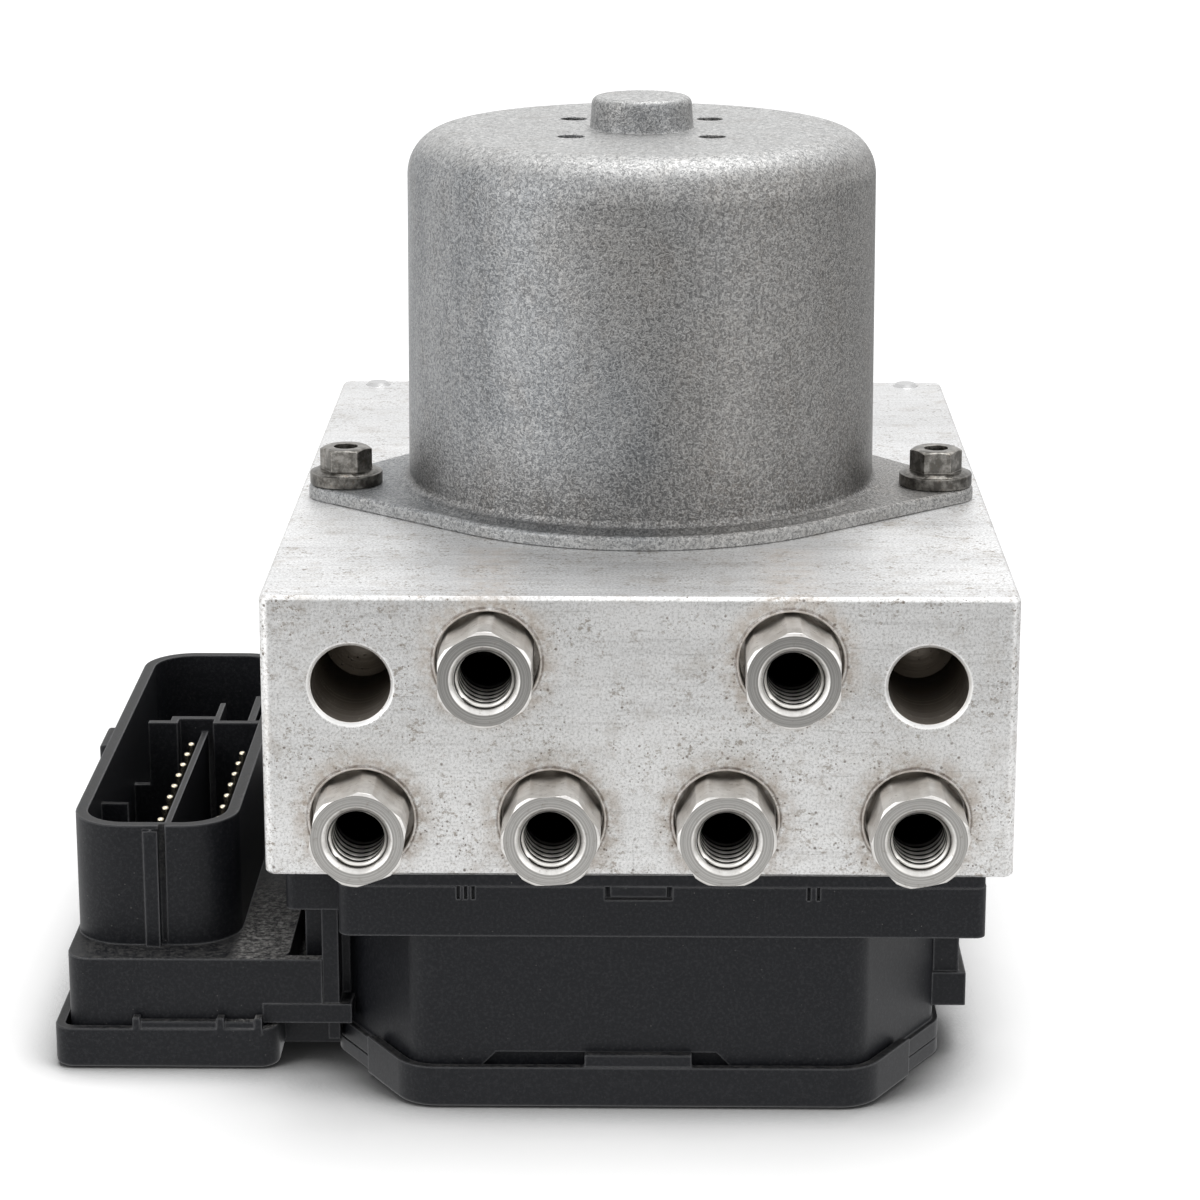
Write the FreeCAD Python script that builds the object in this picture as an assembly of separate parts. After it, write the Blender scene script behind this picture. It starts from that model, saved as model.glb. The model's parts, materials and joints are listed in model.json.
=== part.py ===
import FreeCAD, Part
import math
import os

# Hydraulic brake control module. Millimetres, +Z up.
# The origin is where the pump motor's axis meets the plane of the electronics cover.
# The pipe fittings look towards -Y and the electrical connector stands on the -X side.

# Valve block, machined from bar
BLOCK_SIDE_MARGIN = 7.85
BLOCK_FRONT = 67.0
BLOCK_BACK = 85.0
BLOCK_HEIGHT = 42.5
BLOCK_EDGE_CHAMFER = 0.5
BLOCK_CORNER_RADIUS = 1.5

# Pipe fittings pressed into the block's front face
THREAD_MINOR_RADIUS = 4.46
THREAD_LENGTH = 14.0
MOUTH_RADIUS = 5.1
FITTING_HEX_FLATS = 13.4
FITTING_TURNED_RADIUS = 7.2
FITTING_FACE_RADIUS = 6.75
FITTING_CHAMFER_ANGLE = 30.0
FITTING_PROTRUSION = 9.8
FITTING_SHANK_RADIUS = 6.0
FITTING_SHANK_LENGTH = 11.0
FITTING_DRILL_RADIUS = 1.75
COUNTERBORE_CLEARANCE = 0.4
COUNTERBORE_DEPTH = 3.0
STAKED_LIP_WIDTH = 0.5
STAKED_LIP_HEIGHT = 0.3
UPPER_PORT_X = 22.0
UPPER_PORT_DROP = 9.7
LOWER_INNER_PORT_X = 12.7
LOWER_OUTER_PORT_INSET = 14.5
LOWER_PORT_RISE = 8.8
UPPER_HEX_TURN = 30.0
LOWER_HEX_TURNS = (20.0, 4.0, 0.0, 11.0)
PRESS_CLEARANCE = 0.02

# Bores that take the mounting studs
MOUNT_BORE_RADIUS = 5.8
MOUNT_BORE_DEPTH = 24.0
MOUNT_BORE_CHAMFER = 0.6
MOUNT_BORE_SIDE_INSET = 13.1
MOUNT_BORE_DROP = 13.3
DRILL_POINT_ANGLE = 118.0

# Motor can, drawn from sheet
CAN_RADIUS = 37.3
CAN_DRAFT = 0.4
CAN_HEIGHT = 58.5
CAN_WALL = 1.9
CAN_SHOULDER_RADIUS = 7.0
CAN_FOOT_FILLET = 1.2
CAN_BEAD_MARGIN = 1.9
CAN_BEAD_HEIGHT = 0.6
FLANGE_THICKNESS = 2.2
FLANGE_MARGIN = 3.2
FLANGE_EAR_RADIUS = 6.0
FLANGE_EDGE_FILLET = 0.7
EAR_CLEARANCE = 4.05
EAR_FORWARD = 5.0
BEARING_CUP_RADIUS = 8.3
BEARING_CUP_TAPER = 0.5
BEARING_CUP_HEIGHT = 5.0
BEARING_CUP_FILLET = 1.2
VENT_RADIUS = 2.1
VENT_X = 10.9
VENT_Y = 10.2

# Screws that hold the motor to the block
SCREW_WASHER_RADIUS = 5.8
SCREW_WASHER_THICKNESS = 1.9
SCREW_NECK_RADIUS = 4.6
SCREW_NECK_THICKNESS = 0.5
SCREW_EDGE_BREAK = 0.4
SCREW_HEX_FLATS = 7.3
SCREW_HEX_HEIGHT = 3.5
SCREW_SOCKET_RADIUS = 1.9
SCREW_SOCKET_DEPTH = 2.5
SCREW_SHANK_RADIUS = 2.5
SCREW_DEPTH_IN_BLOCK = 7.5
SCREW_HOLE_CLEARANCE = 0.05

# Motor inside
MAGNET_THICKNESS = 6.1
MAGNET_GAP = 0.3
MAGNET_HEIGHT = 34.0
MAGNET_ARC = 130.0
MAGNET_FLOOR = 14.0
AIR_GAP = 0.8
CORE_HEIGHT = 26.0
CORE_FLOOR = 18.0
SLOT_COUNT = 10
SLOT_WIDTH = 6.0
SLOT_BOTTOM_RADIUS = 14.0
TOOTH_TIP_THICKNESS = 2.8
SLOT_MOUTH = 2.0
WINDING_END_HEIGHT = 6.0
WINDING_EDGE = 1.5
COMMUTATOR_RADIUS = 9.5
COMMUTATOR_HEIGHT = 8.0
COMMUTATOR_FLOOR = 3.0
COMMUTATOR_RISER = 1.5
COMMUTATOR_RISER_HEIGHT = 1.0
COMMUTATOR_GROOVE_WIDTH = 0.4
COMMUTATOR_GROOVE_DEPTH = 0.6
SHAFT_RADIUS = 4.0
SHAFT_TOP_RADIUS = 2.5
SHAFT_END_GAP = 0.5
UPPER_BEARING_HEIGHT = 4.5
LOWER_BEARING_RADIUS = 12.5
LOWER_BEARING_HEIGHT = 7.0
LOWER_BEARING_RECESS = 1.0
BEARING_RACE_SHARE = 0.25
BEARING_SHIELD_RECESS = 0.4
RUNNING_CLEARANCE = 0.03
ASSEMBLY_CLEARANCE = 0.1

# Brush gear
BRUSH_PLATE_CLEARANCE = 0.8
BRUSH_PLATE_THICKNESS = 1.8
BRUSH_PLATE_BORE = 11.0
BRUSH_WIDTH = 5.0
BRUSH_THICKNESS = 4.0
BRUSH_LENGTH = 9.0
BRUSH_HOLDER_WALL = 1.0
BRUSH_HOLDER_LENGTH = 15.0
BRUSH_HOLDER_SETBACK = 2.0
BRUSH_SPRING_RADIUS = 1.6
BRUSH_SPRING_WIRE = 0.5
BRUSH_SPRING_TURNS = 3
BRUSH_CLEARANCE = 0.08

# Eccentric and the two pump pistons
PUMP_AXIS_DROP = 19.0
ECCENTRIC_OFFSET = 1.25
ECCENTRIC_RADIUS = 5.5
ECCENTRIC_RING_RADIUS = 9.0
ECCENTRIC_RING_HEIGHT = 9.0
ECCENTRIC_END_GAP = 1.5
CAM_CHAMBER_CLEARANCE = 0.45
PISTON_RADIUS = 4.0
PISTON_LENGTH = 18.0
PISTON_GROOVE_START = 11.0
PISTON_GROOVE_WIDTH = 2.0
PISTON_GROOVE_DEPTH = 0.7
PISTON_REST_GAP = 0.05
PUMP_SPRING_BORE = 4.6
PUMP_SPRING_RADIUS = 3.2
PUMP_SPRING_WIRE = 0.8
PUMP_SPRING_TURNS = 4
PUMP_PLUG_RADIUS = 7.5
PUMP_PLUG_LENGTH = 12.0
PLUG_RECESS = 0.4
PLUG_SOCKET_FLATS = 6.0
PLUG_SOCKET_DEPTH = 4.0
PLUG_CHAMFER = 0.6

# Low pressure accumulators
ACCUMULATOR_Y = 36.0
ACCUMULATOR_DROP = 21.0
ACCUMULATOR_RADIUS = 11.0
ACCUMULATOR_DEPTH = 41.0
ACCUMULATOR_PISTON_LENGTH = 9.0
ACCUMULATOR_PISTON_WALL = 1.8
ACCUMULATOR_REST_GAP = 0.3
ACCUMULATOR_SPRING_RADIUS = 7.0
ACCUMULATOR_SPRING_WIRE = 1.4
ACCUMULATOR_SPRING_TURNS = 3
ACCUMULATOR_CAP_THICKNESS = 3.0
CAP_DISH_RADIUS = 6.0
CAP_DISH_DEPTH = 1.2
CAP_DISH_SLOPE = 0.5

# Solenoid valves
VALVE_Y = (-31.0, -9.0)
VALVE_RADIUS = 5.2
VALVE_DEPTH = 14.0
VALVE_COLLAR_HEIGHT = 8.4
VALVE_TOP_GAP = 0.5
VALVE_DOME_RADIUS = 3.3
VALVE_DOME_LENGTH = 20.0
VALVE_DOME_FLOOR = 1.0
VALVE_SEAT_RADIUS = 3.8
PLUNGER_RADIUS = 2.5
PLUNGER_LENGTH = 13.0
PLUNGER_PIN_RADIUS = 1.0
PLUNGER_PIN_LENGTH = 12.0
PLUNGER_TRAVEL = 0.3
COIL_RADIUS = 9.0
COIL_HEIGHT = 17.5
COIL_BORE_CLEARANCE = 0.25
COIL_SIDE_CLEARANCE = 0.4
COIL_PIN = 0.8
COIL_PIN_OFFSET = 5.4

# Sealing plugs of the cross drillings, in the top of the block
PASSAGE_PLUG_SIDE_INSET = 6.6
PASSAGE_PLUG_BACK_INSET = 3.2
PASSAGE_PLUG_RADIUS = 2.2
PASSAGE_PLUG_DEPTH = 4.0
PASSAGE_PLUG_CROWN = 0.5
PASSAGE_RADIUS = 1.75

# Electronics housing, moulded
ECU_HEIGHT = 36.5
HOUSING_WALL = 1.8
BODY_SIDE_INSET = 9.4
BODY_FRONT = 65.4
BODY_BACK = 70.0
BODY_CHAMFER_WIDTH = 12.6
BODY_CHAMFER_FRONT = 21.5
BODY_CHAMFER_BACK = 20.0
BODY_CORNER_RADIUS = 5.0
DECK_FRONT_OVERHANG = 0.6
DECK_BACK_OVERHANG = 2.0
DECK_RIGHT_OVERHANG = 5.7
DECK_LEFT_OVERHANG = 7.7
DECK_THICKNESS = 9.8
DECK_CORNER_RADIUS = 5.5
DECK_FRONT_CORNER_RADIUS = 2.0
DECK_STEP_INSET = 1.1
DECK_STEP_FORWARD = 4.1
DECK_PARTING_DROP = 2.0
DECK_PARTING_STEP = 0.12
PARTITION_TOP = 12.0
PARTITION_THICKNESS = 1.8
RIM_RISE = 5.0
RIM_STEP = 0.9
RIM_BACK_MARGIN = 12.0
BOARD_THICKNESS = 1.6
BOARD_CLEARANCE = 0.6
BOARD_BOSS_RADIUS = 2.2
BOARD_BOSS_HEIGHT = 2.2
BOARD_BOSS_Y = (-46.0, 52.0)
BOARD_CENTRE_BOSS_Y = 20.0

# Front latch pocket of the housing, and the cuts in the deck above it
LATCH_POCKET_X = -4.8
LATCH_POCKET_WIDTH = 38.8
LATCH_POCKET_SLOPE = 3.0
LATCH_POCKET_TOP = 8.1
LATCH_POCKET_DEPTH = 1.2
LATCH_TONGUE_WIDTH = 16.0
LATCH_TONGUE_RISE = 1.9
DECK_SLOT_DEPTH = 0.8
DECK_SLOT_HEIGHT = 2.0
DECK_SLOT_WIDTH = 0.5
DECK_SLOT_PLACES = (-26.6, -25.5, -24.4, 25.1, 26.5)
DECK_POCKET_WIDTH = 10.0
DECK_TAB_GAP = 0.8
DECK_TAB_LOW_GAP = 0.3
DECK_TAB_SETBACK = 0.25

# Connector arm of the housing
ARM_GAP = 8.0
ARM_WIDTH = 34.2
ARM_FRONT = 50.9
ARM_BACK = 57.0
ARM_TOP = 17.1
ARM_CORNER_RADIUS = 4.0
ARM_LOW_CORNER_RADIUS = 1.5
ARM_BAND_TOP = 9.9
ARM_BAND_BOTTOM = 6.8
ARM_BAND_STEP = 0.12
ARM_BAND_REACH = 1.7
WELL_GAP = 2.8
WELL_BACK = 16.0
WELL_WALL_RISE = 4.0
WELL_RIB_Y = 26.0
WELL_RIB_DROP = 3.0
BRIDGE_WALL = 2.0
POST_WIDTH = 2.6
POST_DEPTH = 5.0
POST_SETBACK = 0.3
POST_FOOT_WIDTH = 1.9
POST_FOOT_DROP = 4.3
WEB_LEFT_REACH = 2.9
WEB_RIGHT_REACH = 2.4
INFILL_DEPTH = 4.0
LINK_BACK_MARGIN = 6.0

# Connector shroud and what stands in it
SHROUD_LEFT_INSET = 0.3
SHROUD_WIDTH = 25.5
SHROUD_FRONT_INSET = 6.0
SHROUD_BACK_INSET = 6.3
SHROUD_RADIUS = 8.5
SHROUD_WALL = 1.9
SOCKET_FLOOR = 14.5
SOCKET_FLOOR_THICKNESS = 2.0
DIVIDER_Y = 13.0
DIVIDER_THICKNESS = 1.4
DIVIDER_DROP = 1.2
DIVIDER_LOW_LENGTH = 4.6
DIVIDER_LOW_DROP = 11.0
DIVIDER_JOG = 2.4
DIVIDER_JOG_LEFT = 4.2
DIVIDER_JOG_RIGHT = 1.7
RIB_INSET = 13.8
RIB_THICKNESS = 1.0
RIB_DROP = 3.5
KEY_LENGTH = 10.0
WIDE_KEY_INSET = 21.2
WIDE_KEY_THICKNESS = 1.4
WIDE_KEY_LENGTH = 15.0
SIDE_KEY_Y = 24.0
SIDE_KEY_REACH = 6.2
GUIDE_INSET = 12.65
GUIDE_WIDTH = 2.3
GUIDE_PROUD = 0.9
GUIDE_DROP = 0.6
GUIDE_SLOT_WIDTH = 1.0
GUIDE_SLOT_DEPTH = 0.8
LUG_Y = 8.7
LUG_LENGTH = 10.0
LUG_HEIGHT = 4.2
LUG_DROP = 2.5
LUG_PROUD = 2.4
LUG_FILLET = 0.6

# Locking block on the right wall of the housing
CLIP_FRONT = 44.0
CLIP_LENGTH = 14.0
CLIP_PROUD = 5.0
CLIP_BOTTOM = 7.4
CLIP_STEP_Z = 12.8
CLIP_STEP = 1.1
CLIP_CORNER_STEP = 0.8

# Cover of the housing
COVER_PLATE = 2.2
COVER_LIP_HEIGHT = 6.4
COVER_LIP_WALL = 1.5
COVER_GAP = 0.4
COVER_LIP_END = 55.0
COVER_CORNER_RADIUS = 3.0
COVER_EDGE_FILLET = 0.8
COVER_BRIDGE_INSET = 23.4
TRAY_REACH = 1.6
COVER_STRIP_INSET = 10.3
COVER_STRIP_LENGTH = 19.9
COVER_STRIP_HEIGHT = 1.1
COVER_STRIP_SETBACK = 0.3
COVER_STRIP_GAP = 0.15
COVER_LUG_HEIGHT = 1.8
COVER_LUG_WIDTH = 1.2
COVER_LUG_INSETS = (10.9, 23.8, 29.6)
COVER_SKIRT_GAP = 0.2

# Contact pins of the connector
PIN_RADIUS = 0.6
PIN_TIP_Z = 33.0
PIN_PITCH = 5.6
PIN_ROW_INSETS = (12.3, 21.4)
PIN_ROW_STARTS = (8.5, 3.7)
PIN_ROW_COUNTS = (8, 7)
BLADE_WIDTH = 6.0
BLADE_THICKNESS = 0.8
BLADE_TIP_Z = 24.2
BLADE_Y = (27.0, 39.0)

# Screws between the housing and the block
ECU_SCREW_RIGHT_Y = (-18.0, 52.0)
ECU_SCREW_LEFT_Y = (30.0, 64.0)
ECU_SCREW_SIDE_CLEARANCE = 0.4
ECU_SCREW_HEAD_RADIUS = 2.6
ECU_SCREW_HEAD_HEIGHT = 2.6
ECU_SCREW_RADIUS = 1.5
ECU_SCREW_DEPTH = 8.0
ECU_SCREW_SOCKET_RADIUS = 1.2
ECU_SCREW_SOCKET_DEPTH = 1.5
GASKET_WIDTH = 1.0
GASKET_HEIGHT = 0.9
GASKET_INSET = 0.2

# How far cuts reach past a surface, and how far joined forms reach into each other
CUT_MARGIN = 1.0
OVERLAP = 1.0

# Motor sizes that follow from the can
CAN_BEAD_RADIUS = CAN_RADIUS + CAN_BEAD_MARGIN
FLANGE_RADIUS = CAN_RADIUS + FLANGE_MARGIN
EAR_X = CAN_RADIUS + SCREW_WASHER_RADIUS + EAR_CLEARANCE
MAGNET_OUTER_RADIUS = CAN_RADIUS - CAN_DRAFT - CAN_WALL - MAGNET_GAP
MAGNET_INNER_RADIUS = MAGNET_OUTER_RADIUS - MAGNET_THICKNESS
CORE_RADIUS = MAGNET_INNER_RADIUS - AIR_GAP
SLOT_TOP_RADIUS = CORE_RADIUS - TOOTH_TIP_THICKNESS
BRUSH_PLATE_RADIUS = CAN_RADIUS - CAN_WALL - BRUSH_PLATE_CLEARANCE
UPPER_BEARING_RADIUS = BEARING_CUP_RADIUS - BEARING_CUP_TAPER - CAN_WALL

# Places across the width
BLOCK_HALF = EAR_X + BLOCK_SIDE_MARGIN
COUNTERBORE_RADIUS = FITTING_TURNED_RADIUS + COUNTERBORE_CLEARANCE
LOWER_OUTER_PORT_X = BLOCK_HALF - LOWER_OUTER_PORT_INSET
MOUNT_BORE_X = BLOCK_HALF - MOUNT_BORE_SIDE_INSET
PASSAGE_PLUG_X = BLOCK_HALF - PASSAGE_PLUG_SIDE_INSET
PUMP_PLUG_FACE = BLOCK_HALF - PLUG_RECESS
PUMP_PLUG_INNER = PUMP_PLUG_FACE - PUMP_PLUG_LENGTH
ACCUMULATOR_BOTTOM = BLOCK_HALF - ACCUMULATOR_DEPTH
CAP_FACE = BLOCK_HALF - PLUG_RECESS
CAP_INNER = CAP_FACE - ACCUMULATOR_CAP_THICKNESS
PISTON_FACE = ECCENTRIC_RING_RADIUS + ECCENTRIC_OFFSET + PISTON_REST_GAP
CAM_CHAMBER_RADIUS = ECCENTRIC_RING_RADIUS + ECCENTRIC_OFFSET + CAM_CHAMBER_CLEARANCE
BODY_HALF_WIDTH = BLOCK_HALF - BODY_SIDE_INSET
BODY_CHAMFER_X = BODY_HALF_WIDTH - BODY_CHAMFER_WIDTH
VALVE_ROW_END = BODY_HALF_WIDTH - HOUSING_WALL - COIL_SIDE_CLEARANCE - COIL_RADIUS
VALVE_X = (VALVE_ROW_END / 3, VALVE_ROW_END)
ECU_SCREW_X = BODY_HALF_WIDTH + ECU_SCREW_HEAD_RADIUS + ECU_SCREW_SIDE_CLEARANCE
DECK_RIGHT = BODY_HALF_WIDTH + DECK_RIGHT_OVERHANG
DECK_LEFT = BODY_HALF_WIDTH + DECK_LEFT_OVERHANG
DECK_STEP_X = BODY_HALF_WIDTH - DECK_STEP_INSET
ARM_RIGHT = BODY_HALF_WIDTH + ARM_GAP
ARM_LEFT = ARM_RIGHT + ARM_WIDTH
WELL_RIGHT = BODY_HALF_WIDTH + WELL_GAP
SHROUD_LEFT = ARM_LEFT - SHROUD_LEFT_INSET
SHROUD_RIGHT = SHROUD_LEFT - SHROUD_WIDTH
RIB_X = RIB_INSET - SHROUD_LEFT
GUIDE_X = GUIDE_INSET - SHROUD_LEFT
TRAY_RIGHT = ARM_RIGHT + TRAY_REACH
COVER_GAP_X = -TRAY_RIGHT - COVER_LIP_WALL - COVER_GAP

# Places from front to back
DECK_FRONT = BODY_FRONT + DECK_FRONT_OVERHANG
DECK_BACK = BODY_BACK + DECK_BACK_OVERHANG
DECK_STEP_Y = ARM_FRONT + DECK_STEP_FORWARD
SHROUD_FRONT = ARM_FRONT - SHROUD_FRONT_INSET
SHROUD_BACK = ARM_BACK - SHROUD_BACK_INSET
WEB_Y = POST_DEPTH - ARM_FRONT
BODY_CHAMFER_END = BODY_BACK - BODY_CHAMFER_BACK
COVER_BRIDGE_FRONT = BODY_FRONT - COVER_BRIDGE_INSET
LINK_OUTER_FRONT = COVER_BRIDGE_FRONT - COVER_LIP_WALL - COVER_GAP
LINK_INNER_FRONT = LINK_OUTER_FRONT - HOUSING_WALL

# Heights
BLOCK_BASE = ECU_HEIGHT
DECK_TOP = BLOCK_BASE + BLOCK_HEIGHT
UPPER_PORT_Z = DECK_TOP - UPPER_PORT_DROP
LOWER_PORT_Z = BLOCK_BASE + LOWER_PORT_RISE
PUMP_Z = DECK_TOP - PUMP_AXIS_DROP
ACCUMULATOR_Z = DECK_TOP - ACCUMULATOR_DROP
CAN_TOP = DECK_TOP + CAN_HEIGHT
CUP_TOP = CAN_TOP + BEARING_CUP_HEIGHT
UPPER_BEARING_TOP = CUP_TOP - CAN_WALL
CAM_CHAMBER_FLOOR = PUMP_Z - ECCENTRIC_RING_HEIGHT / 2 - ECCENTRIC_END_GAP
LOWER_BEARING_TOP = DECK_TOP - LOWER_BEARING_RECESS
LOWER_BEARING_FLOOR = LOWER_BEARING_TOP - LOWER_BEARING_HEIGHT
DECK_UNDERSIDE = ECU_HEIGHT - DECK_THICKNESS
PARTITION_BOTTOM = PARTITION_TOP - PARTITION_THICKNESS
BOARD_TOP = PARTITION_BOTTOM - BOARD_BOSS_HEIGHT
SPLIT_Z = COVER_PLATE + COVER_GAP / 2
MAGNET_Z = DECK_TOP + MAGNET_FLOOR
CORE_Z = DECK_TOP + CORE_FLOOR
COMMUTATOR_Z = DECK_TOP + COMMUTATOR_FLOOR
BRUSH_Z = COMMUTATOR_Z + COMMUTATOR_HEIGHT / 2
VALVE_FLOOR_Z = BLOCK_BASE - VALVE_DOME_LENGTH

X_AXIS = FreeCAD.Vector(1, 0, 0)
Y_AXIS = FreeCAD.Vector(0, 1, 0)
Z_AXIS = FreeCAD.Vector(0, 0, 1)


def vec(x, y, z):
    return FreeCAD.Vector(x, y, z)


def box(x_range, y_range, z_range):
    size = [high - low for low, high in (x_range, y_range, z_range)]
    corner = vec(x_range[0], y_range[0], z_range[0])
    return Part.makeBox(size[0], size[1], size[2], corner)


def upright_cylinder(radius, z_low, z_high, x=0.0, y=0.0):
    return Part.makeCylinder(radius, z_high - z_low, vec(x, y, z_low), Z_AXIS)


def side_cylinder(radius, x_low, x_high, y, z):
    return Part.makeCylinder(radius, x_high - x_low, vec(x_low, y, z), X_AXIS)


def front_cylinder(radius, y_low, y_high, x, z):
    return Part.makeCylinder(radius, y_high - y_low, vec(x, y_low, z), Y_AXIS)


def turned(profile):
    # Revolves a closed (radius, height) outline about the Z axis.
    points = [vec(radius, 0, height) for radius, height in profile]
    face = Part.Face(Part.makePolygon(points + points[:1]))
    return face.revolve(vec(0, 0, 0), Z_AXIS, 360)


def turned_along_x(profile, y, z, direction=1):
    # A turned piece laid along X: heights in the profile become distances from the centre plane.
    piece = turned(profile)
    piece.rotate(vec(0, 0, 0), Y_AXIS, 90 * direction)
    piece.translate(vec(0, y, z))
    return piece


def hexagon_prism(flats, length, turn=0.0):
    radius = flats / math.sqrt(3)
    angles = [math.radians(turn + 60 * index) for index in range(7)]
    points = [vec(radius * math.cos(angle), radius * math.sin(angle), 0) for angle in angles]
    return Part.Face(Part.makePolygon(points)).extrude(vec(0, 0, length))


def rounded_outline(corners, z=0.0):
    # Closed wire through (x, y, radius) corners, each rounded by its own tangent arc.
    edges = []
    count = len(corners)
    starts = []
    ends = []
    for index, (x, y, radius) in enumerate(corners):
        here = vec(x, y, z)
        before = vec(*corners[index - 1][:2], z) - here
        after = vec(*corners[(index + 1) % count][:2], z) - here
        before.normalize()
        after.normalize()
        half = before.getAngle(after) / 2
        reach = radius / math.tan(half)
        middle = before + after
        middle.normalize()
        centre = here + middle * (radius / math.sin(half))
        start = here + before * reach
        end = here + after * reach
        starts.append(start)
        ends.append(end)
        if radius > 0:
            edges.append(Part.Arc(start, centre - middle * radius, end).toShape())
        if index:
            edges.insert(-1 if radius > 0 else len(edges), Part.makeLine(ends[index - 1], start))
    edges.append(Part.makeLine(ends[-1], starts[0]))
    return Part.Wire(Part.__sortEdges__(edges))


def slab(corners, z_low, z_high, offset=0.0):
    face = Part.Face(rounded_outline(corners, z_low))
    if offset:
        face = face.makeOffset2D(offset)
    return face.extrude(vec(0, 0, z_high - z_low))


def rectangle(x_range, y_range, radius):
    return [
        (x_range[0], y_range[0], radius),
        (x_range[1], y_range[0], radius),
        (x_range[1], y_range[1], radius),
        (x_range[0], y_range[1], radius),
    ]


def joined(shapes):
    return shapes[0].multiFuse(shapes[1:]).removeSplitter()


def mirrored_x(shape):
    return shape.mirror(vec(0, 0, 0), X_AXIS)


def coil_spring(radius, wire, turns, length):
    # Square-section wire wound about Z, from z = 0 to z = length.
    rise = length - wire
    path = Part.makeHelix(rise / turns, rise, radius)
    half = wire / 2
    section = Part.makePolygon([
        vec(radius - half, 0, -half),
        vec(radius + half, 0, -half),
        vec(radius + half, 0, half),
        vec(radius - half, 0, half),
        vec(radius - half, 0, -half),
    ])
    spring = Part.Wire(path).makePipeShell([section], True, True)
    spring.translate(vec(0, 0, half))
    return spring


def spring_along_x(spring, x, y, z):
    spring.rotate(vec(0, 0, 0), Y_AXIS, 90)
    spring.translate(vec(x, y, z))
    return spring


def port_places():
    # (x, z, turn of the hexagon) of the six fittings, left to right, upper row first.
    places = [(side * UPPER_PORT_X, UPPER_PORT_Z, UPPER_HEX_TURN) for side in (-1, 1)]
    lower = (-LOWER_OUTER_PORT_X, -LOWER_INNER_PORT_X, LOWER_INNER_PORT_X, LOWER_OUTER_PORT_X)
    places += [(x, LOWER_PORT_Z, turn) for x, turn in zip(lower, LOWER_HEX_TURNS)]
    return places


def valve_places():
    return [(side * x, y) for y in VALVE_Y for side in (-1, 1) for x in VALVE_X]


def drill_point(radius, y_tip_base, x, z):
    depth = radius / math.tan(math.radians(DRILL_POINT_ANGLE / 2))
    return Part.makeCone(radius, 0, depth, vec(x, y_tip_base, z), Y_AXIS)


def block_bar():
    bar = slab(
        rectangle((-BLOCK_HALF, BLOCK_HALF), (-BLOCK_FRONT, BLOCK_BACK), BLOCK_CORNER_RADIUS),
        BLOCK_BASE,
        DECK_TOP,
    )
    rims = [edge for face in bar.Faces if abs(face.normalAt(0, 0).z) > 0.9 for edge in face.Edges]
    return bar.makeChamfer(BLOCK_EDGE_CHAMFER, rims)


def port_bore(x, z):
    face = -BLOCK_FRONT
    seat = face + COUNTERBORE_DEPTH
    shank_end = seat + FITTING_SHANK_LENGTH
    feed_end = VALVE_Y[0] - VALVE_RADIUS / 2
    return joined([
        front_cylinder(COUNTERBORE_RADIUS, face - CUT_MARGIN, seat, x, z),
        front_cylinder(FITTING_SHANK_RADIUS + PRESS_CLEARANCE, face, shank_end, x, z),
        front_cylinder(PASSAGE_RADIUS, face, feed_end, x, z),
    ])


def staked_lip(x, z):
    # Ridge of metal pushed up round the mouth of a counterbore.
    inner = COUNTERBORE_RADIUS
    outer = inner + STAKED_LIP_WIDTH
    crown = STAKED_LIP_WIDTH / 4
    lip = turned([
        (inner, -OVERLAP),
        (outer, -OVERLAP),
        (outer, 0),
        (outer - crown, STAKED_LIP_HEIGHT),
        (inner + crown, STAKED_LIP_HEIGHT),
        (inner, STAKED_LIP_HEIGHT / 2),
    ])
    lip.rotate(vec(0, 0, 0), X_AXIS, 90)
    lip.translate(vec(x, -BLOCK_FRONT, z))
    front = (-BLOCK_FRONT - OVERLAP, -BLOCK_FRONT + OVERLAP)
    room = box((-BLOCK_HALF, BLOCK_HALF), front, (BLOCK_BASE, DECK_TOP))
    return lip.common(room)


def mount_bore(x):
    z = DECK_TOP - MOUNT_BORE_DROP
    face = -BLOCK_FRONT
    wide = MOUNT_BORE_RADIUS + MOUNT_BORE_CHAMFER
    mouth = Part.makeCone(wide, MOUNT_BORE_RADIUS, MOUNT_BORE_CHAMFER, vec(x, face, z), Y_AXIS)
    bore = front_cylinder(MOUNT_BORE_RADIUS, face - CUT_MARGIN, face + MOUNT_BORE_DEPTH, x, z)
    return joined([bore, mouth, drill_point(MOUNT_BORE_RADIUS, face + MOUNT_BORE_DEPTH, x, z)])


def motor_well():
    seat = upright_cylinder(LOWER_BEARING_RADIUS + PRESS_CLEARANCE, LOWER_BEARING_FLOOR, DECK_TOP + CUT_MARGIN)
    chamber = upright_cylinder(CAM_CHAMBER_RADIUS, CAM_CHAMBER_FLOOR, DECK_TOP)
    screws = [
        upright_cylinder(
            SCREW_SHANK_RADIUS + SCREW_HOLE_CLEARANCE,
            DECK_TOP - SCREW_DEPTH_IN_BLOCK - CUT_MARGIN,
            DECK_TOP + CUT_MARGIN,
            side * EAR_X,
            -EAR_FORWARD,
        )
        for side in (-1, 1)
    ]
    return [seat, chamber] + screws


def pump_bore():
    guide_end = PISTON_FACE + PISTON_LENGTH
    stages = [
        side_cylinder(PISTON_RADIUS + RUNNING_CLEARANCE, 0, guide_end, 0, PUMP_Z),
        side_cylinder(PUMP_SPRING_BORE, guide_end, PUMP_PLUG_INNER, 0, PUMP_Z),
        side_cylinder(PUMP_PLUG_RADIUS + PRESS_CLEARANCE, PUMP_PLUG_INNER, BLOCK_HALF + CUT_MARGIN, 0, PUMP_Z),
    ]
    return joined(stages)


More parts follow.
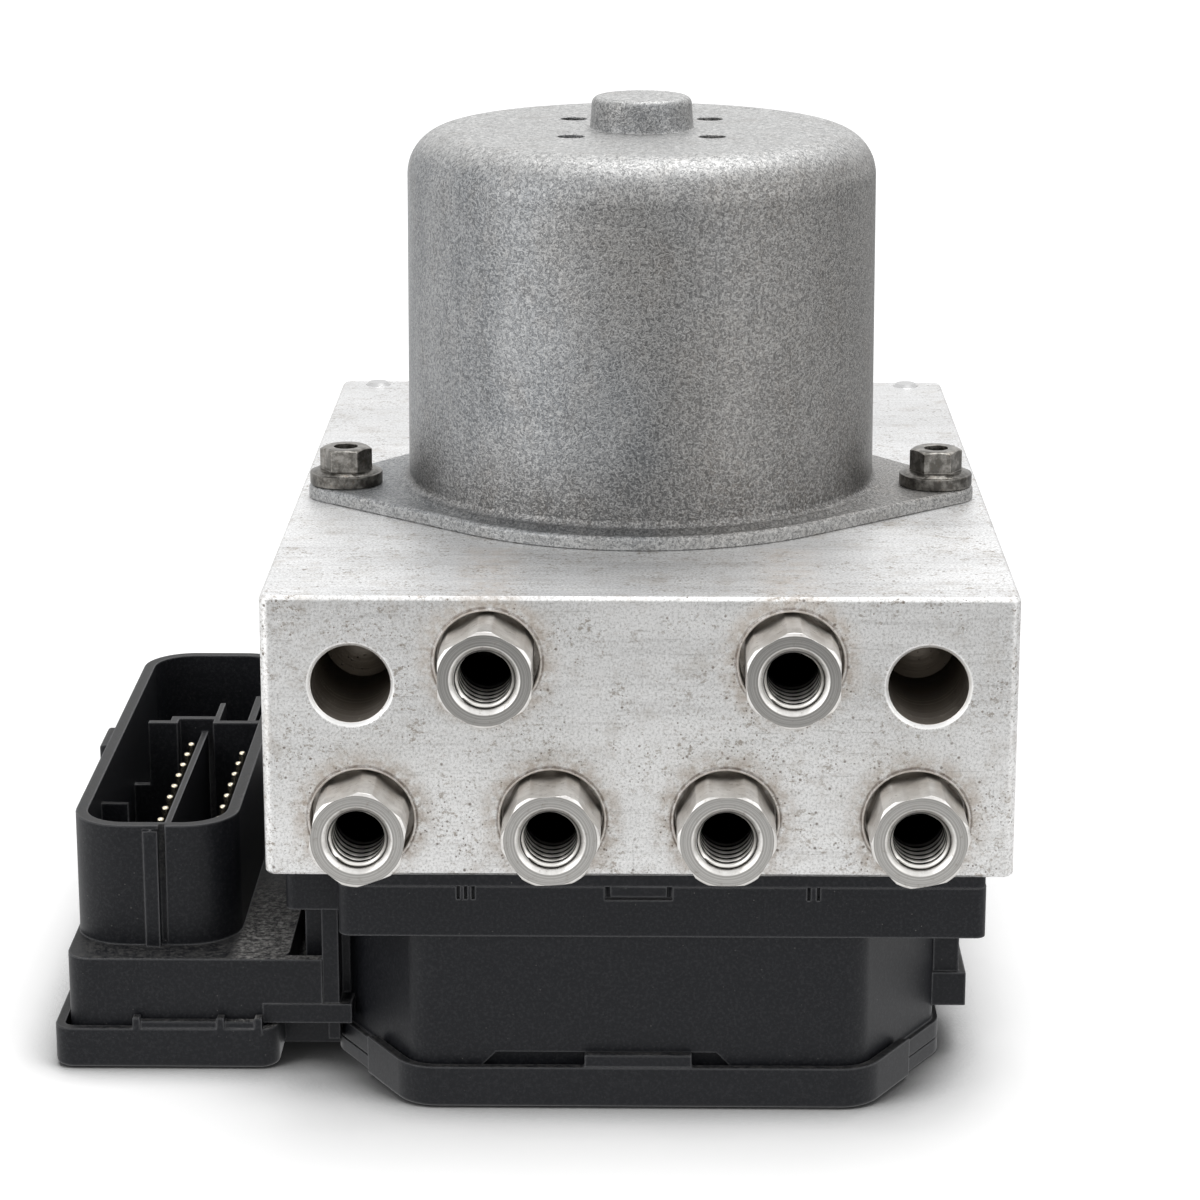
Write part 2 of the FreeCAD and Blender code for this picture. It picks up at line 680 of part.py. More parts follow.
def accumulator_bore():
    return side_cylinder(
        ACCUMULATOR_RADIUS,
        ACCUMULATOR_BOTTOM,
        BLOCK_HALF + CUT_MARGIN,
        ACCUMULATOR_Y,
        ACCUMULATOR_Z,
    )


def valve_bore(x, y):
    radius = VALVE_RADIUS + PRESS_CLEARANCE
    return upright_cylinder(radius, BLOCK_BASE - CUT_MARGIN, BLOCK_BASE + VALVE_DEPTH, x, y)


def passage_plug_places():
    return [(side * PASSAGE_PLUG_X, BLOCK_BACK - PASSAGE_PLUG_BACK_INSET) for side in (-1, 1)]


def passage_bores():
    bores = []
    for x, y in passage_plug_places():
        wide = upright_cylinder(PASSAGE_PLUG_RADIUS, DECK_TOP - PASSAGE_PLUG_DEPTH, DECK_TOP + CUT_MARGIN, x, y)
        narrow = upright_cylinder(PASSAGE_RADIUS, BLOCK_BASE + VALVE_DEPTH, DECK_TOP, x, y)
        bores.append(wide.fuse(narrow))
    return bores


def ecu_screw_places():
    right = [(ECU_SCREW_X, y) for y in ECU_SCREW_RIGHT_Y]
    left = [(-ECU_SCREW_X, y) for y in ECU_SCREW_LEFT_Y]
    return right + left


def ecu_screw_holes():
    radius = ECU_SCREW_RADIUS + SCREW_HOLE_CLEARANCE
    low = BLOCK_BASE - CUT_MARGIN
    high = BLOCK_BASE + ECU_SCREW_DEPTH + CUT_MARGIN
    return [upright_cylinder(radius, low, high, x, y) for x, y in ecu_screw_places()]


def valve_block():
    block = block_bar()
    block = block.fuse([staked_lip(x, z) for x, z, turn in port_places()])
    cuts = [port_bore(x, z) for x, z, turn in port_places()]
    cuts += [mount_bore(side * MOUNT_BORE_X) for side in (-1, 1)]
    cuts += motor_well()
    cuts += [pump_bore(), mirrored_x(pump_bore())]
    cuts += [accumulator_bore(), mirrored_x(accumulator_bore())]
    cuts += [valve_bore(x, y) for x, y in valve_places()]
    cuts += passage_bores()
    cuts += ecu_screw_holes()
    return block.cut(cuts)


def port_fitting(x, z, turn):
    tip = COUNTERBORE_DEPTH + FITTING_PROTRUSION
    chamfer_rise = (FITTING_TURNED_RADIUS - FITTING_FACE_RADIUS) * math.tan(math.radians(FITTING_CHAMFER_ANGLE))
    envelope = turned([
        (0, 0),
        (FITTING_TURNED_RADIUS, 0),
        (FITTING_TURNED_RADIUS, tip - chamfer_rise),
        (FITTING_FACE_RADIUS, tip),
        (0, tip),
    ])
    head = hexagon_prism(FITTING_HEX_FLATS, tip, turn).common(envelope)
    shank = upright_cylinder(FITTING_SHANK_RADIUS, -FITTING_SHANK_LENGTH, 0)
    thread_floor = tip - THREAD_LENGTH
    seat_depth = THREAD_MINOR_RADIUS - FITTING_DRILL_RADIUS
    mouth_depth = MOUTH_RADIUS - THREAD_MINOR_RADIUS
    hollow = turned([
        (0, -FITTING_SHANK_LENGTH - CUT_MARGIN),
        (FITTING_DRILL_RADIUS, -FITTING_SHANK_LENGTH - CUT_MARGIN),
        (FITTING_DRILL_RADIUS, thread_floor - seat_depth),
        (THREAD_MINOR_RADIUS, thread_floor),
        (THREAD_MINOR_RADIUS, tip - mouth_depth),
        (MOUTH_RADIUS, tip),
        (MOUTH_RADIUS, tip + CUT_MARGIN),
        (0, tip + CUT_MARGIN),
    ])
    fitting = joined([head, shank]).cut(hollow)
    fitting.rotate(vec(0, 0, 0), X_AXIS, 90)
    fitting.translate(vec(x, -BLOCK_FRONT + COUNTERBORE_DEPTH, z))
    return fitting


def flange_side(side):
    # Tangent, ear and tangent of one side, from the back of the round middle to its front.
    reach = math.hypot(EAR_X, EAR_FORWARD)
    lean = math.acos((FLANGE_RADIUS - FLANGE_EAR_RADIUS) / reach)
    aim = math.atan2(-EAR_FORWARD, EAR_X)
    ends = []
    for turn in (aim + lean, aim - lean):
        across = (side * math.cos(turn), math.sin(turn))
        middle = vec(FLANGE_RADIUS * across[0], FLANGE_RADIUS * across[1], 0)
        ear = vec(side * EAR_X + FLANGE_EAR_RADIUS * across[0], FLANGE_EAR_RADIUS * across[1] - EAR_FORWARD, 0)
        ends.append((middle, ear))
    tip = vec(side * (EAR_X + FLANGE_EAR_RADIUS), -EAR_FORWARD, 0)
    (back, back_ear), (front, front_ear) = ends
    edges = [
        Part.makeLine(back, back_ear),
        Part.Arc(back_ear, tip, front_ear).toShape(),
        Part.makeLine(front_ear, front),
    ]
    return back, front, edges


def flange_outline():
    # Lozenge: a round middle drawn out to two ears by straight tangents.
    right_back, right_front, right = flange_side(1)
    left_back, left_front, left = flange_side(-1)
    edges = right + left
    edges.append(Part.Arc(right_back, vec(0, FLANGE_RADIUS, 0), left_back).toShape())
    edges.append(Part.Arc(right_front, vec(0, -FLANGE_RADIUS, 0), left_front).toShape())
    return Part.Wire(Part.__sortEdges__(edges))


def motor_flange():
    flange = Part.Face(flange_outline()).extrude(vec(0, 0, FLANGE_THICKNESS))
    flange.translate(vec(0, 0, DECK_TOP))
    top = max(flange.Faces, key=lambda face: face.CenterOfMass.z)
    return flange.makeFillet(FLANGE_EDGE_FILLET, top.Edges)


def can_shell():
    top_radius = CAN_RADIUS - CAN_DRAFT
    shell = Part.makeCone(CAN_RADIUS, top_radius, CAN_HEIGHT, vec(0, 0, DECK_TOP), Z_AXIS)
    top_edges = [edge for edge in shell.Edges if edge.BoundBox.ZMin > CAN_TOP - 0.01]
    rim = [edge for edge in top_edges if edge.BoundBox.XLength > 1]
    shell = shell.makeFillet(CAN_SHOULDER_RADIUS, rim)
    bead = turned([
        (0, 0),
        (CAN_BEAD_RADIUS, 0),
        (CAN_BEAD_RADIUS, FLANGE_THICKNESS),
        (CAN_BEAD_RADIUS - CAN_BEAD_HEIGHT, FLANGE_THICKNESS + CAN_BEAD_HEIGHT),
        (0, FLANGE_THICKNESS + CAN_BEAD_HEIGHT),
    ])
    bead.translate(vec(0, 0, DECK_TOP))
    cup_base = CAN_TOP - CAN_WALL
    cup_height = CUP_TOP - cup_base
    cup_top_radius = BEARING_CUP_RADIUS - BEARING_CUP_TAPER
    cup = Part.makeCone(BEARING_CUP_RADIUS, cup_top_radius, cup_height, vec(0, 0, cup_base), Z_AXIS)
    cup_rim = [edge for edge in cup.Edges if abs(edge.BoundBox.ZMin - CUP_TOP) < 0.01]
    cup = cup.makeFillet(BEARING_CUP_FILLET, cup_rim)
    return joined([shell, bead, motor_flange(), cup])


def foot_fillet(can):
    # Softens the foot of the drawn cylinder where it turns out into the flange.
    foot = DECK_TOP + FLANGE_THICKNESS + CAN_BEAD_HEIGHT
    edges = [
        edge
        for edge in can.Edges
        if abs(edge.BoundBox.ZMax - foot) < 0.01
        and abs(edge.BoundBox.ZMin - foot) < 0.01
        and abs(edge.BoundBox.XLength - 2 * CAN_RADIUS) < 1.0
    ]
    return can.makeFillet(CAN_FOOT_FILLET, edges)


def can_hollow():
    wall = CAN_WALL
    inner_top = CAN_RADIUS - CAN_DRAFT - wall
    hollow = Part.makeCone(CAN_RADIUS - wall, inner_top, CAN_HEIGHT - wall, vec(0, 0, DECK_TOP), Z_AXIS)
    rim = [
        edge
        for edge in hollow.Edges
        if abs(edge.BoundBox.ZMin - (CAN_TOP - wall)) < 0.01 and edge.BoundBox.XLength > 1
    ]
    hollow = hollow.makeFillet(CAN_SHOULDER_RADIUS - wall, rim)
    seat = upright_cylinder(UPPER_BEARING_RADIUS + PRESS_CLEARANCE, CAN_TOP - 2 * wall, UPPER_BEARING_TOP)
    return hollow.fuse(seat)


def motor_can():
    can = foot_fillet(can_shell())
    holes = [
        upright_cylinder(VENT_RADIUS, CAN_TOP - 2 * CAN_WALL, CAN_TOP + CUT_MARGIN, sx * VENT_X, sy * VENT_Y)
        for sx in (-1, 1)
        for sy in (-1, 1)
    ]
    screw_room = SCREW_SHANK_RADIUS + ASSEMBLY_CLEARANCE
    top = DECK_TOP + 2 * FLANGE_THICKNESS
    holes += [
        upright_cylinder(screw_room, DECK_TOP - CUT_MARGIN, top, side * EAR_X, -EAR_FORWARD)
        for side in (-1, 1)
    ]
    return can.cut([can_hollow()] + holes)


def motor_screw(x):
    seat = DECK_TOP + FLANGE_THICKNESS
    neck = seat + SCREW_WASHER_THICKNESS
    hex_floor = neck + SCREW_NECK_THICKNESS
    top = hex_floor + SCREW_HEX_HEIGHT
    washer = upright_cylinder(SCREW_WASHER_RADIUS, seat, neck)
    collar_radius = SCREW_WASHER_RADIUS - SCREW_EDGE_BREAK
    collar = Part.makeCone(collar_radius, SCREW_NECK_RADIUS, SCREW_NECK_THICKNESS, vec(0, 0, neck), Z_AXIS)
    half_flats = SCREW_HEX_FLATS / 2
    crown = turned([
        (0, hex_floor),
        (SCREW_HEX_FLATS, hex_floor),
        (SCREW_HEX_FLATS, top - half_flats / 2),
        (half_flats - SCREW_EDGE_BREAK, top),
        (0, top),
    ])
    hexagon = hexagon_prism(SCREW_HEX_FLATS, SCREW_HEX_HEIGHT)
    hexagon.translate(vec(0, 0, hex_floor))
    shank = upright_cylinder(SCREW_SHANK_RADIUS, DECK_TOP - SCREW_DEPTH_IN_BLOCK, seat)
    screw = joined([washer, collar, hexagon.common(crown), shank])
    screw = screw.cut(upright_cylinder(SCREW_SOCKET_RADIUS, top - SCREW_SOCKET_DEPTH, top + CUT_MARGIN))
    screw.translate(vec(x, -EAR_FORWARD, 0))
    return screw


def motor_screws():
    return Part.makeCompound([motor_screw(side * EAR_X) for side in (-1, 1)])


def magnet(side):
    outer = MAGNET_OUTER_RADIUS
    ring = upright_cylinder(outer, MAGNET_Z, MAGNET_Z + MAGNET_HEIGHT)
    ring = ring.cut(upright_cylinder(MAGNET_INNER_RADIUS, MAGNET_Z, MAGNET_Z + MAGNET_HEIGHT))
    half = math.radians(MAGNET_ARC / 2)
    far = outer / math.cos(half)
    wedge = Part.makePolygon([
        vec(0, 0, MAGNET_Z),
        vec(side * far * math.cos(half), -far * math.sin(half), MAGNET_Z),
        vec(side * far, -far * math.sin(half), MAGNET_Z),
        vec(side * far, far * math.sin(half), MAGNET_Z),
        vec(side * far * math.cos(half), far * math.sin(half), MAGNET_Z),
        vec(0, 0, MAGNET_Z),
    ])
    return ring.common(Part.Face(wedge).extrude(vec(0, 0, MAGNET_HEIGHT)))


def slot_cut(width, mouth, low_radius, top_radius, z_low, z_high):
    body = box((low_radius, top_radius), (-width / 2, width / 2), (z_low, z_high))
    if mouth:
        body = body.fuse(box((top_radius, CORE_RADIUS + CUT_MARGIN), (-mouth / 2, mouth / 2), (z_low, z_high)))
    return body


def around(shape):
    copies = []
    for index in range(SLOT_COUNT):
        copy = shape.copy()
        copy.rotate(vec(0, 0, 0), Z_AXIS, 360.0 * index / SLOT_COUNT)
        copies.append(copy)
    return copies


def armature_core():
    top = CORE_Z + CORE_HEIGHT
    core = upright_cylinder(CORE_RADIUS, CORE_Z, top)
    core = core.cut(upright_cylinder(SHAFT_RADIUS + PRESS_CLEARANCE, CORE_Z, top))
    slot = slot_cut(SLOT_WIDTH, SLOT_MOUTH, SLOT_BOTTOM_RADIUS, SLOT_TOP_RADIUS, CORE_Z, top)
    return core.cut(around(slot))


def armature_winding():
    low = CORE_Z - WINDING_END_HEIGHT
    top = CORE_Z + CORE_HEIGHT
    inner = SLOT_BOTTOM_RADIUS + ASSEMBLY_CLEARANCE
    outer = SLOT_TOP_RADIUS - ASSEMBLY_CLEARANCE
    ends = []
    for z, lift in ((low, 1), (top + WINDING_END_HEIGHT, -1)):
        edge = z + lift * WINDING_EDGE
        root = z + lift * (WINDING_END_HEIGHT - ASSEMBLY_CLEARANCE)
        ends.append(turned([
            (inner + WINDING_EDGE, z),
            (outer - WINDING_EDGE, z),
            (outer, edge),
            (outer, root),
            (inner, root),
            (inner, edge),
        ]))
    width = SLOT_WIDTH - 2 * ASSEMBLY_CLEARANCE
    inset = WINDING_EDGE / 3
    bar = slot_cut(width, 0, inner + inset, outer - inset, low + inset, top + WINDING_END_HEIGHT - inset)
    return joined(ends + around(bar))


def commutator():
    top = COMMUTATOR_Z + COMMUTATOR_HEIGHT
    riser = turned([
        (SHAFT_RADIUS + PRESS_CLEARANCE, COMMUTATOR_Z),
        (COMMUTATOR_RADIUS, COMMUTATOR_Z),
        (COMMUTATOR_RADIUS, top),
        (COMMUTATOR_RADIUS + COMMUTATOR_RISER, top),
        (COMMUTATOR_RADIUS + COMMUTATOR_RISER, top + COMMUTATOR_RISER_HEIGHT),
        (SHAFT_RADIUS + PRESS_CLEARANCE, top + COMMUTATOR_RISER_HEIGHT),
    ])
    half = COMMUTATOR_GROOVE_WIDTH / 2
    groove = box(
        (COMMUTATOR_RADIUS - COMMUTATOR_GROOVE_DEPTH, COMMUTATOR_RADIUS + COMMUTATOR_RISER + CUT_MARGIN),
        (-half, half),
        (COMMUTATOR_Z - CUT_MARGIN, top + COMMUTATOR_RISER_HEIGHT + CUT_MARGIN),
    )
    return riser.cut(around(groove))


def motor_shaft():
    ring_low = PUMP_Z - ECCENTRIC_RING_HEIGHT / 2
    ring_high = PUMP_Z + ECCENTRIC_RING_HEIGHT / 2
    shoulder = UPPER_BEARING_TOP - UPPER_BEARING_HEIGHT - 2 * SHAFT_END_GAP
    main = upright_cylinder(SHAFT_RADIUS, ring_high, shoulder)
    end = upright_cylinder(SHAFT_TOP_RADIUS, ring_high, UPPER_BEARING_TOP - SHAFT_END_GAP)
    eccentric = upright_cylinder(ECCENTRIC_RADIUS, ring_low, ring_high, 0, ECCENTRIC_OFFSET)
    return joined([main, end, eccentric])


def eccentric_ring():
    low = PUMP_Z - ECCENTRIC_RING_HEIGHT / 2
    high = PUMP_Z + ECCENTRIC_RING_HEIGHT / 2
    ring = upright_cylinder(ECCENTRIC_RING_RADIUS, low, high, 0, ECCENTRIC_OFFSET)
    bore = ECCENTRIC_RADIUS + RUNNING_CLEARANCE
    hole = upright_cylinder(bore, low - CUT_MARGIN, high + CUT_MARGIN, 0, ECCENTRIC_OFFSET)
    return ring.cut(hole)


def bearing(outer, inner, low, high):
    # Races joined by their shields, with the shields set back from both faces.
    race = (outer - inner) * BEARING_RACE_SHARE
    shield = BEARING_SHIELD_RECESS
    return turned([
        (inner, low),
        (inner + race, low),
        (inner + race, low + shield),
        (outer - race, low + shield),
        (outer - race, low),
        (outer, low),
        (outer, high),
        (outer - race, high),
        (outer - race, high - shield),
        (inner + race, high - shield),
        (inner + race, high),
        (inner, high),
    ])


def upper_bearing():
    low = UPPER_BEARING_TOP - UPPER_BEARING_HEIGHT
    return bearing(UPPER_BEARING_RADIUS, SHAFT_TOP_RADIUS + RUNNING_CLEARANCE, low, UPPER_BEARING_TOP)


def lower_bearing():
    inner = SHAFT_RADIUS + RUNNING_CLEARANCE
    return bearing(LOWER_BEARING_RADIUS, inner, LOWER_BEARING_FLOOR, LOWER_BEARING_TOP)


def brush_room():
    # Passage of one brush along X through its holder.
    half_y = BRUSH_WIDTH / 2 + BRUSH_CLEARANCE
    half_z = BRUSH_THICKNESS / 2 + BRUSH_CLEARANCE
    start = COMMUTATOR_RADIUS
    return box((start, start + BRUSH_HOLDER_LENGTH), (-half_y, half_y), (BRUSH_Z - half_z, BRUSH_Z + half_z))


def brush_holder():
    wall = BRUSH_HOLDER_WALL
    half_y = BRUSH_WIDTH / 2 + BRUSH_CLEARANCE + wall
    start = COMMUTATOR_RADIUS + BRUSH_HOLDER_SETBACK
    end = COMMUTATOR_RADIUS + BRUSH_HOLDER_LENGTH + wall
    top = BRUSH_Z + BRUSH_THICKNESS / 2 + BRUSH_CLEARANCE + wall
    block = box((start, end), (-half_y, half_y), (DECK_TOP + BRUSH_PLATE_THICKNESS / 2, top))
    return block.cut(brush_room())


def brush_plate():
    top = DECK_TOP + BRUSH_PLATE_THICKNESS
    plate = upright_cylinder(BRUSH_PLATE_RADIUS, DECK_TOP, top)
    plate = plate.cut(upright_cylinder(BRUSH_PLATE_BORE, DECK_TOP - CUT_MARGIN, top + CUT_MARGIN))
    holders = [brush_holder(), mirrored_x(brush_holder())]
    return joined([plate] + holders)


def brush(side):
    start = COMMUTATOR_RADIUS - CUT_MARGIN
    half_y = BRUSH_WIDTH / 2
    half_z = BRUSH_THICKNESS / 2
    block = box(
        (start, COMMUTATOR_RADIUS + BRUSH_LENGTH),
        (-half_y, half_y),
        (BRUSH_Z - half_z, BRUSH_Z + half_z),
    )
    face_radius = COMMUTATOR_RADIUS + RUNNING_CLEARANCE
    block = block.cut(upright_cylinder(face_radius, BRUSH_Z - BRUSH_THICKNESS, BRUSH_Z + BRUSH_THICKNESS))
    return block if side > 0 else mirrored_x(block)


def brush_spring(side):
    start = COMMUTATOR_RADIUS + BRUSH_LENGTH
    length = BRUSH_HOLDER_LENGTH - BRUSH_LENGTH
    spring = coil_spring(BRUSH_SPRING_RADIUS, BRUSH_SPRING_WIRE, BRUSH_SPRING_TURNS, length)
    spring = spring_along_x(spring, start, 0, BRUSH_Z)
    return spring if side > 0 else mirrored_x(spring)


def pump_piston(side):
    groove = PISTON_RADIUS - PISTON_GROOVE_DEPTH
    groove_start = PISTON_FACE + PISTON_GROOVE_START
    groove_end = groove_start + PISTON_GROOVE_WIDTH
    piston = turned_along_x([
        (0, PISTON_FACE),
        (PISTON_RADIUS, PISTON_FACE),
        (PISTON_RADIUS, groove_start),
        (groove, groove_start),
        (groove, groove_end),
        (PISTON_RADIUS, groove_end),
        (PISTON_RADIUS, PISTON_FACE + PISTON_LENGTH),
        (0, PISTON_FACE + PISTON_LENGTH),
    ], 0, PUMP_Z)
    return piston if side > 0 else mirrored_x(piston)


def pump_spring(side):
    start = PISTON_FACE + PISTON_LENGTH
    length = PUMP_PLUG_INNER - start
    spring = coil_spring(PUMP_SPRING_RADIUS, PUMP_SPRING_WIRE, PUMP_SPRING_TURNS, length)
    spring = spring_along_x(spring, start, 0, PUMP_Z)
    return spring if side > 0 else mirrored_x(spring)


def pump_plug(side):
    plug = turned_along_x([
        (0, PUMP_PLUG_INNER),
        (PUMP_PLUG_RADIUS, PUMP_PLUG_INNER),
        (PUMP_PLUG_RADIUS, PUMP_PLUG_FACE - PLUG_CHAMFER),
        (PUMP_PLUG_RADIUS - PLUG_CHAMFER, PUMP_PLUG_FACE),
        (0, PUMP_PLUG_FACE),
    ], 0, PUMP_Z)
    socket = hexagon_prism(PLUG_SOCKET_FLATS, PLUG_SOCKET_DEPTH + CUT_MARGIN)
    socket.rotate(vec(0, 0, 0), Y_AXIS, 90)
    socket.translate(vec(PUMP_PLUG_FACE - PLUG_SOCKET_DEPTH, 0, PUMP_Z))
    plug = plug.cut(socket)
    return plug if side > 0 else mirrored_x(plug)


def accumulator_piston(side):
    radius = ACCUMULATOR_RADIUS - RUNNING_CLEARANCE
    floor = ACCUMULATOR_BOTTOM + ACCUMULATOR_REST_GAP
    top = floor + ACCUMULATOR_PISTON_LENGTH
    inner = radius - ACCUMULATOR_PISTON_WALL
    piston = turned_along_x([
        (0, floor),
        (radius, floor),
        (radius, top),
        (inner, top),
        (inner, floor + ACCUMULATOR_PISTON_WALL),
        (0, floor + ACCUMULATOR_PISTON_WALL),
    ], ACCUMULATOR_Y, ACCUMULATOR_Z)
    return piston if side > 0 else mirrored_x(piston)


def accumulator_spring(side):
    start = ACCUMULATOR_BOTTOM + ACCUMULATOR_REST_GAP + ACCUMULATOR_PISTON_WALL
    length = CAP_INNER - start
    spring = coil_spring(ACCUMULATOR_SPRING_RADIUS, ACCUMULATOR_SPRING_WIRE, ACCUMULATOR_SPRING_TURNS, length)
    spring = spring_along_x(spring, start, ACCUMULATOR_Y, ACCUMULATOR_Z)
    return spring if side > 0 else mirrored_x(spring)


def accumulator_cap(side):
    radius = ACCUMULATOR_RADIUS - PRESS_CLEARANCE
    cap = turned_along_x([
        (0, CAP_INNER),
        (radius, CAP_INNER),
        (radius, CAP_FACE - PLUG_CHAMFER),
        (radius - PLUG_CHAMFER, CAP_FACE),
        (CAP_DISH_RADIUS, CAP_FACE),
        (CAP_DISH_RADIUS - CAP_DISH_SLOPE, CAP_FACE - CAP_DISH_DEPTH),
        (0, CAP_FACE - CAP_DISH_DEPTH),
    ], ACCUMULATOR_Y, ACCUMULATOR_Z)
    return cap if side > 0 else mirrored_x(cap)


def valve_body(x, y):
    bore = PLUNGER_RADIUS + RUNNING_CLEARANCE
    pin_bore = PLUNGER_PIN_RADIUS + RUNNING_CLEARANCE
    room_floor = VALVE_FLOOR_Z + VALVE_DOME_FLOOR
    room_top = room_floor + PLUNGER_LENGTH + 2 * PLUNGER_TRAVEL
    collar_low = BLOCK_BASE - VALVE_DOME_FLOOR
    collar_top = BLOCK_BASE + VALVE_COLLAR_HEIGHT
    top = BLOCK_BASE + VALVE_DEPTH - VALVE_TOP_GAP
    body = turned([
        (0, VALVE_FLOOR_Z),
        (VALVE_DOME_RADIUS - VALVE_DOME_FLOOR, VALVE_FLOOR_Z),
        (VALVE_DOME_RADIUS, room_floor),
        (VALVE_DOME_RADIUS, collar_low),
        (VALVE_RADIUS, collar_low),
        (VALVE_RADIUS, collar_top),
        (VALVE_SEAT_RADIUS, collar_top),
        (VALVE_SEAT_RADIUS, top),
        (pin_bore, top),
        (pin_bore, room_top),
        (bore, room_top),
        (bore, room_floor),
        (0, room_floor),
    ])
    body.translate(vec(x, y, 0))
    return body


def valve_plunger(x, y):
    low = VALVE_FLOOR_Z + VALVE_DOME_FLOOR + PLUNGER_TRAVEL / 2
    top = low + PLUNGER_LENGTH
    plunger = turned([
        (0, low),
        (PLUNGER_RADIUS, low),
        (PLUNGER_RADIUS, top),
        (PLUNGER_PIN_RADIUS, top),
        (PLUNGER_PIN_RADIUS, top + PLUNGER_PIN_LENGTH),
        (0, top + PLUNGER_PIN_LENGTH),
    ])
    plunger.translate(vec(x, y, 0))
    return plunger


def coil_pin_places():
    return [(x + side * COIL_PIN_OFFSET, y) for x, y in valve_places() for side in (-1, 1)]


def upright_bar(half, x, y, z_range):
    return box((x - half, x + half), (y - half, y + half), z_range)


def solenoid_coil(x, y):
    top = PARTITION_TOP + COIL_HEIGHT
    coil = upright_cylinder(COIL_RADIUS, PARTITION_TOP, top, x, y)
    coil = coil.cut(upright_cylinder(VALVE_DOME_RADIUS + COIL_BORE_CLEARANCE, PARTITION_TOP, top, x, y))
    pins = [
        upright_bar(COIL_PIN / 2, x + side * COIL_PIN_OFFSET, y, (BOARD_TOP, PARTITION_TOP + OVERLAP))
        for side in (-1, 1)
    ]
    return joined([coil] + pins)


def solenoid_coils():
    return Part.makeCompound([solenoid_coil(x, y) for x, y in valve_places()])


def passage_plugs():
    plugs = []
    for x, y in passage_plug_places():
        plug = turned([
            (0, DECK_TOP - PASSAGE_PLUG_DEPTH),
            (PASSAGE_PLUG_RADIUS - PRESS_CLEARANCE, DECK_TOP - PASSAGE_PLUG_DEPTH),
            (PASSAGE_PLUG_RADIUS - PRESS_CLEARANCE, DECK_TOP),
            (PASSAGE_PLUG_RADIUS - PASSAGE_PLUG_CROWN, DECK_TOP + PASSAGE_PLUG_CROWN),
            (0, DECK_TOP + PASSAGE_PLUG_CROWN),
        ])
        plug.translate(vec(x, y, 0))
        plugs.append(plug)
    return Part.makeCompound(plugs)


def body_outline():
    # Main housing seen from above: a rectangle whose four corners are cut back at a slant.
    radius = BODY_CORNER_RADIUS
    right = [
        (BODY_CHAMFER_X, -BODY_FRONT, radius),
        (BODY_HALF_WIDTH, BODY_CHAMFER_FRONT - BODY_FRONT, radius),
        (BODY_HALF_WIDTH, BODY_CHAMFER_END, radius),
        (BODY_CHAMFER_X, BODY_BACK, radius),
    ]
    left = [(-x, y, r) for x, y, r in reversed(right)]
    return right + left


def deck_outline():
    # Upper flange that carries the block, stepped back at its front left corner.
    return [
        (-DECK_STEP_X, -DECK_FRONT, DECK_FRONT_CORNER_RADIUS),
        (DECK_RIGHT, -DECK_FRONT, BLOCK_CORNER_RADIUS),
        (DECK_RIGHT, DECK_BACK, DECK_CORNER_RADIUS),
        (-DECK_LEFT, DECK_BACK, DECK_CORNER_RADIUS),
        (-DECK_LEFT, -DECK_STEP_Y, BLOCK_CORNER_RADIUS),
        (-DECK_STEP_X, -DECK_STEP_Y, 0),
    ]


def arm_outline():
    return rectangle((-ARM_LEFT, -ARM_RIGHT), (-ARM_FRONT, ARM_BACK), ARM_CORNER_RADIUS)


def shroud_outline():
    return rectangle((-SHROUD_LEFT, -SHROUD_RIGHT), (-SHROUD_FRONT, SHROUD_BACK), SHROUD_RADIUS)


def housing_shell():
    # Outer mass of body, rim, deck, arm and the link between body and arm.
    parting = ECU_HEIGHT - DECK_PARTING_DROP
    body = slab(body_outline(), SPLIT_Z, DECK_UNDERSIDE + OVERLAP)
    rim = slab(body_outline(), SPLIT_Z, SPLIT_Z + RIM_RISE - COVER_PLATE, RIM_STEP)
    rim_y = (CUT_MARGIN - COVER_LIP_END, BODY_BACK - RIM_BACK_MARGIN)
    rim = rim.common(box((-ARM_LEFT, DECK_RIGHT), rim_y, (0, ECU_HEIGHT)))
    deck = slab(deck_outline(), DECK_UNDERSIDE, parting)
    deck_top = slab(deck_outline(), parting, ECU_HEIGHT, -DECK_PARTING_STEP)
    arm = slab(arm_outline(), ARM_BAND_BOTTOM, ARM_TOP)
    arm_low = slab(
        rectangle((-ARM_LEFT, COVER_GAP_X), (-ARM_FRONT, ARM_BACK), ARM_LOW_CORNER_RADIUS),
        SPLIT_Z,
        ARM_BAND_BOTTOM + OVERLAP,
    )
    arm_low = arm_low.common(slab(arm_outline(), 0, ECU_HEIGHT))
    link = box(
        (-ARM_RIGHT - ARM_CORNER_RADIUS, -BODY_HALF_WIDTH + OVERLAP),
        (-LINK_OUTER_FRONT, BODY_CHAMFER_END),
        (SPLIT_Z, ARM_TOP),
    )
    return joined([body, rim, deck, deck_top, arm, arm_low, link])


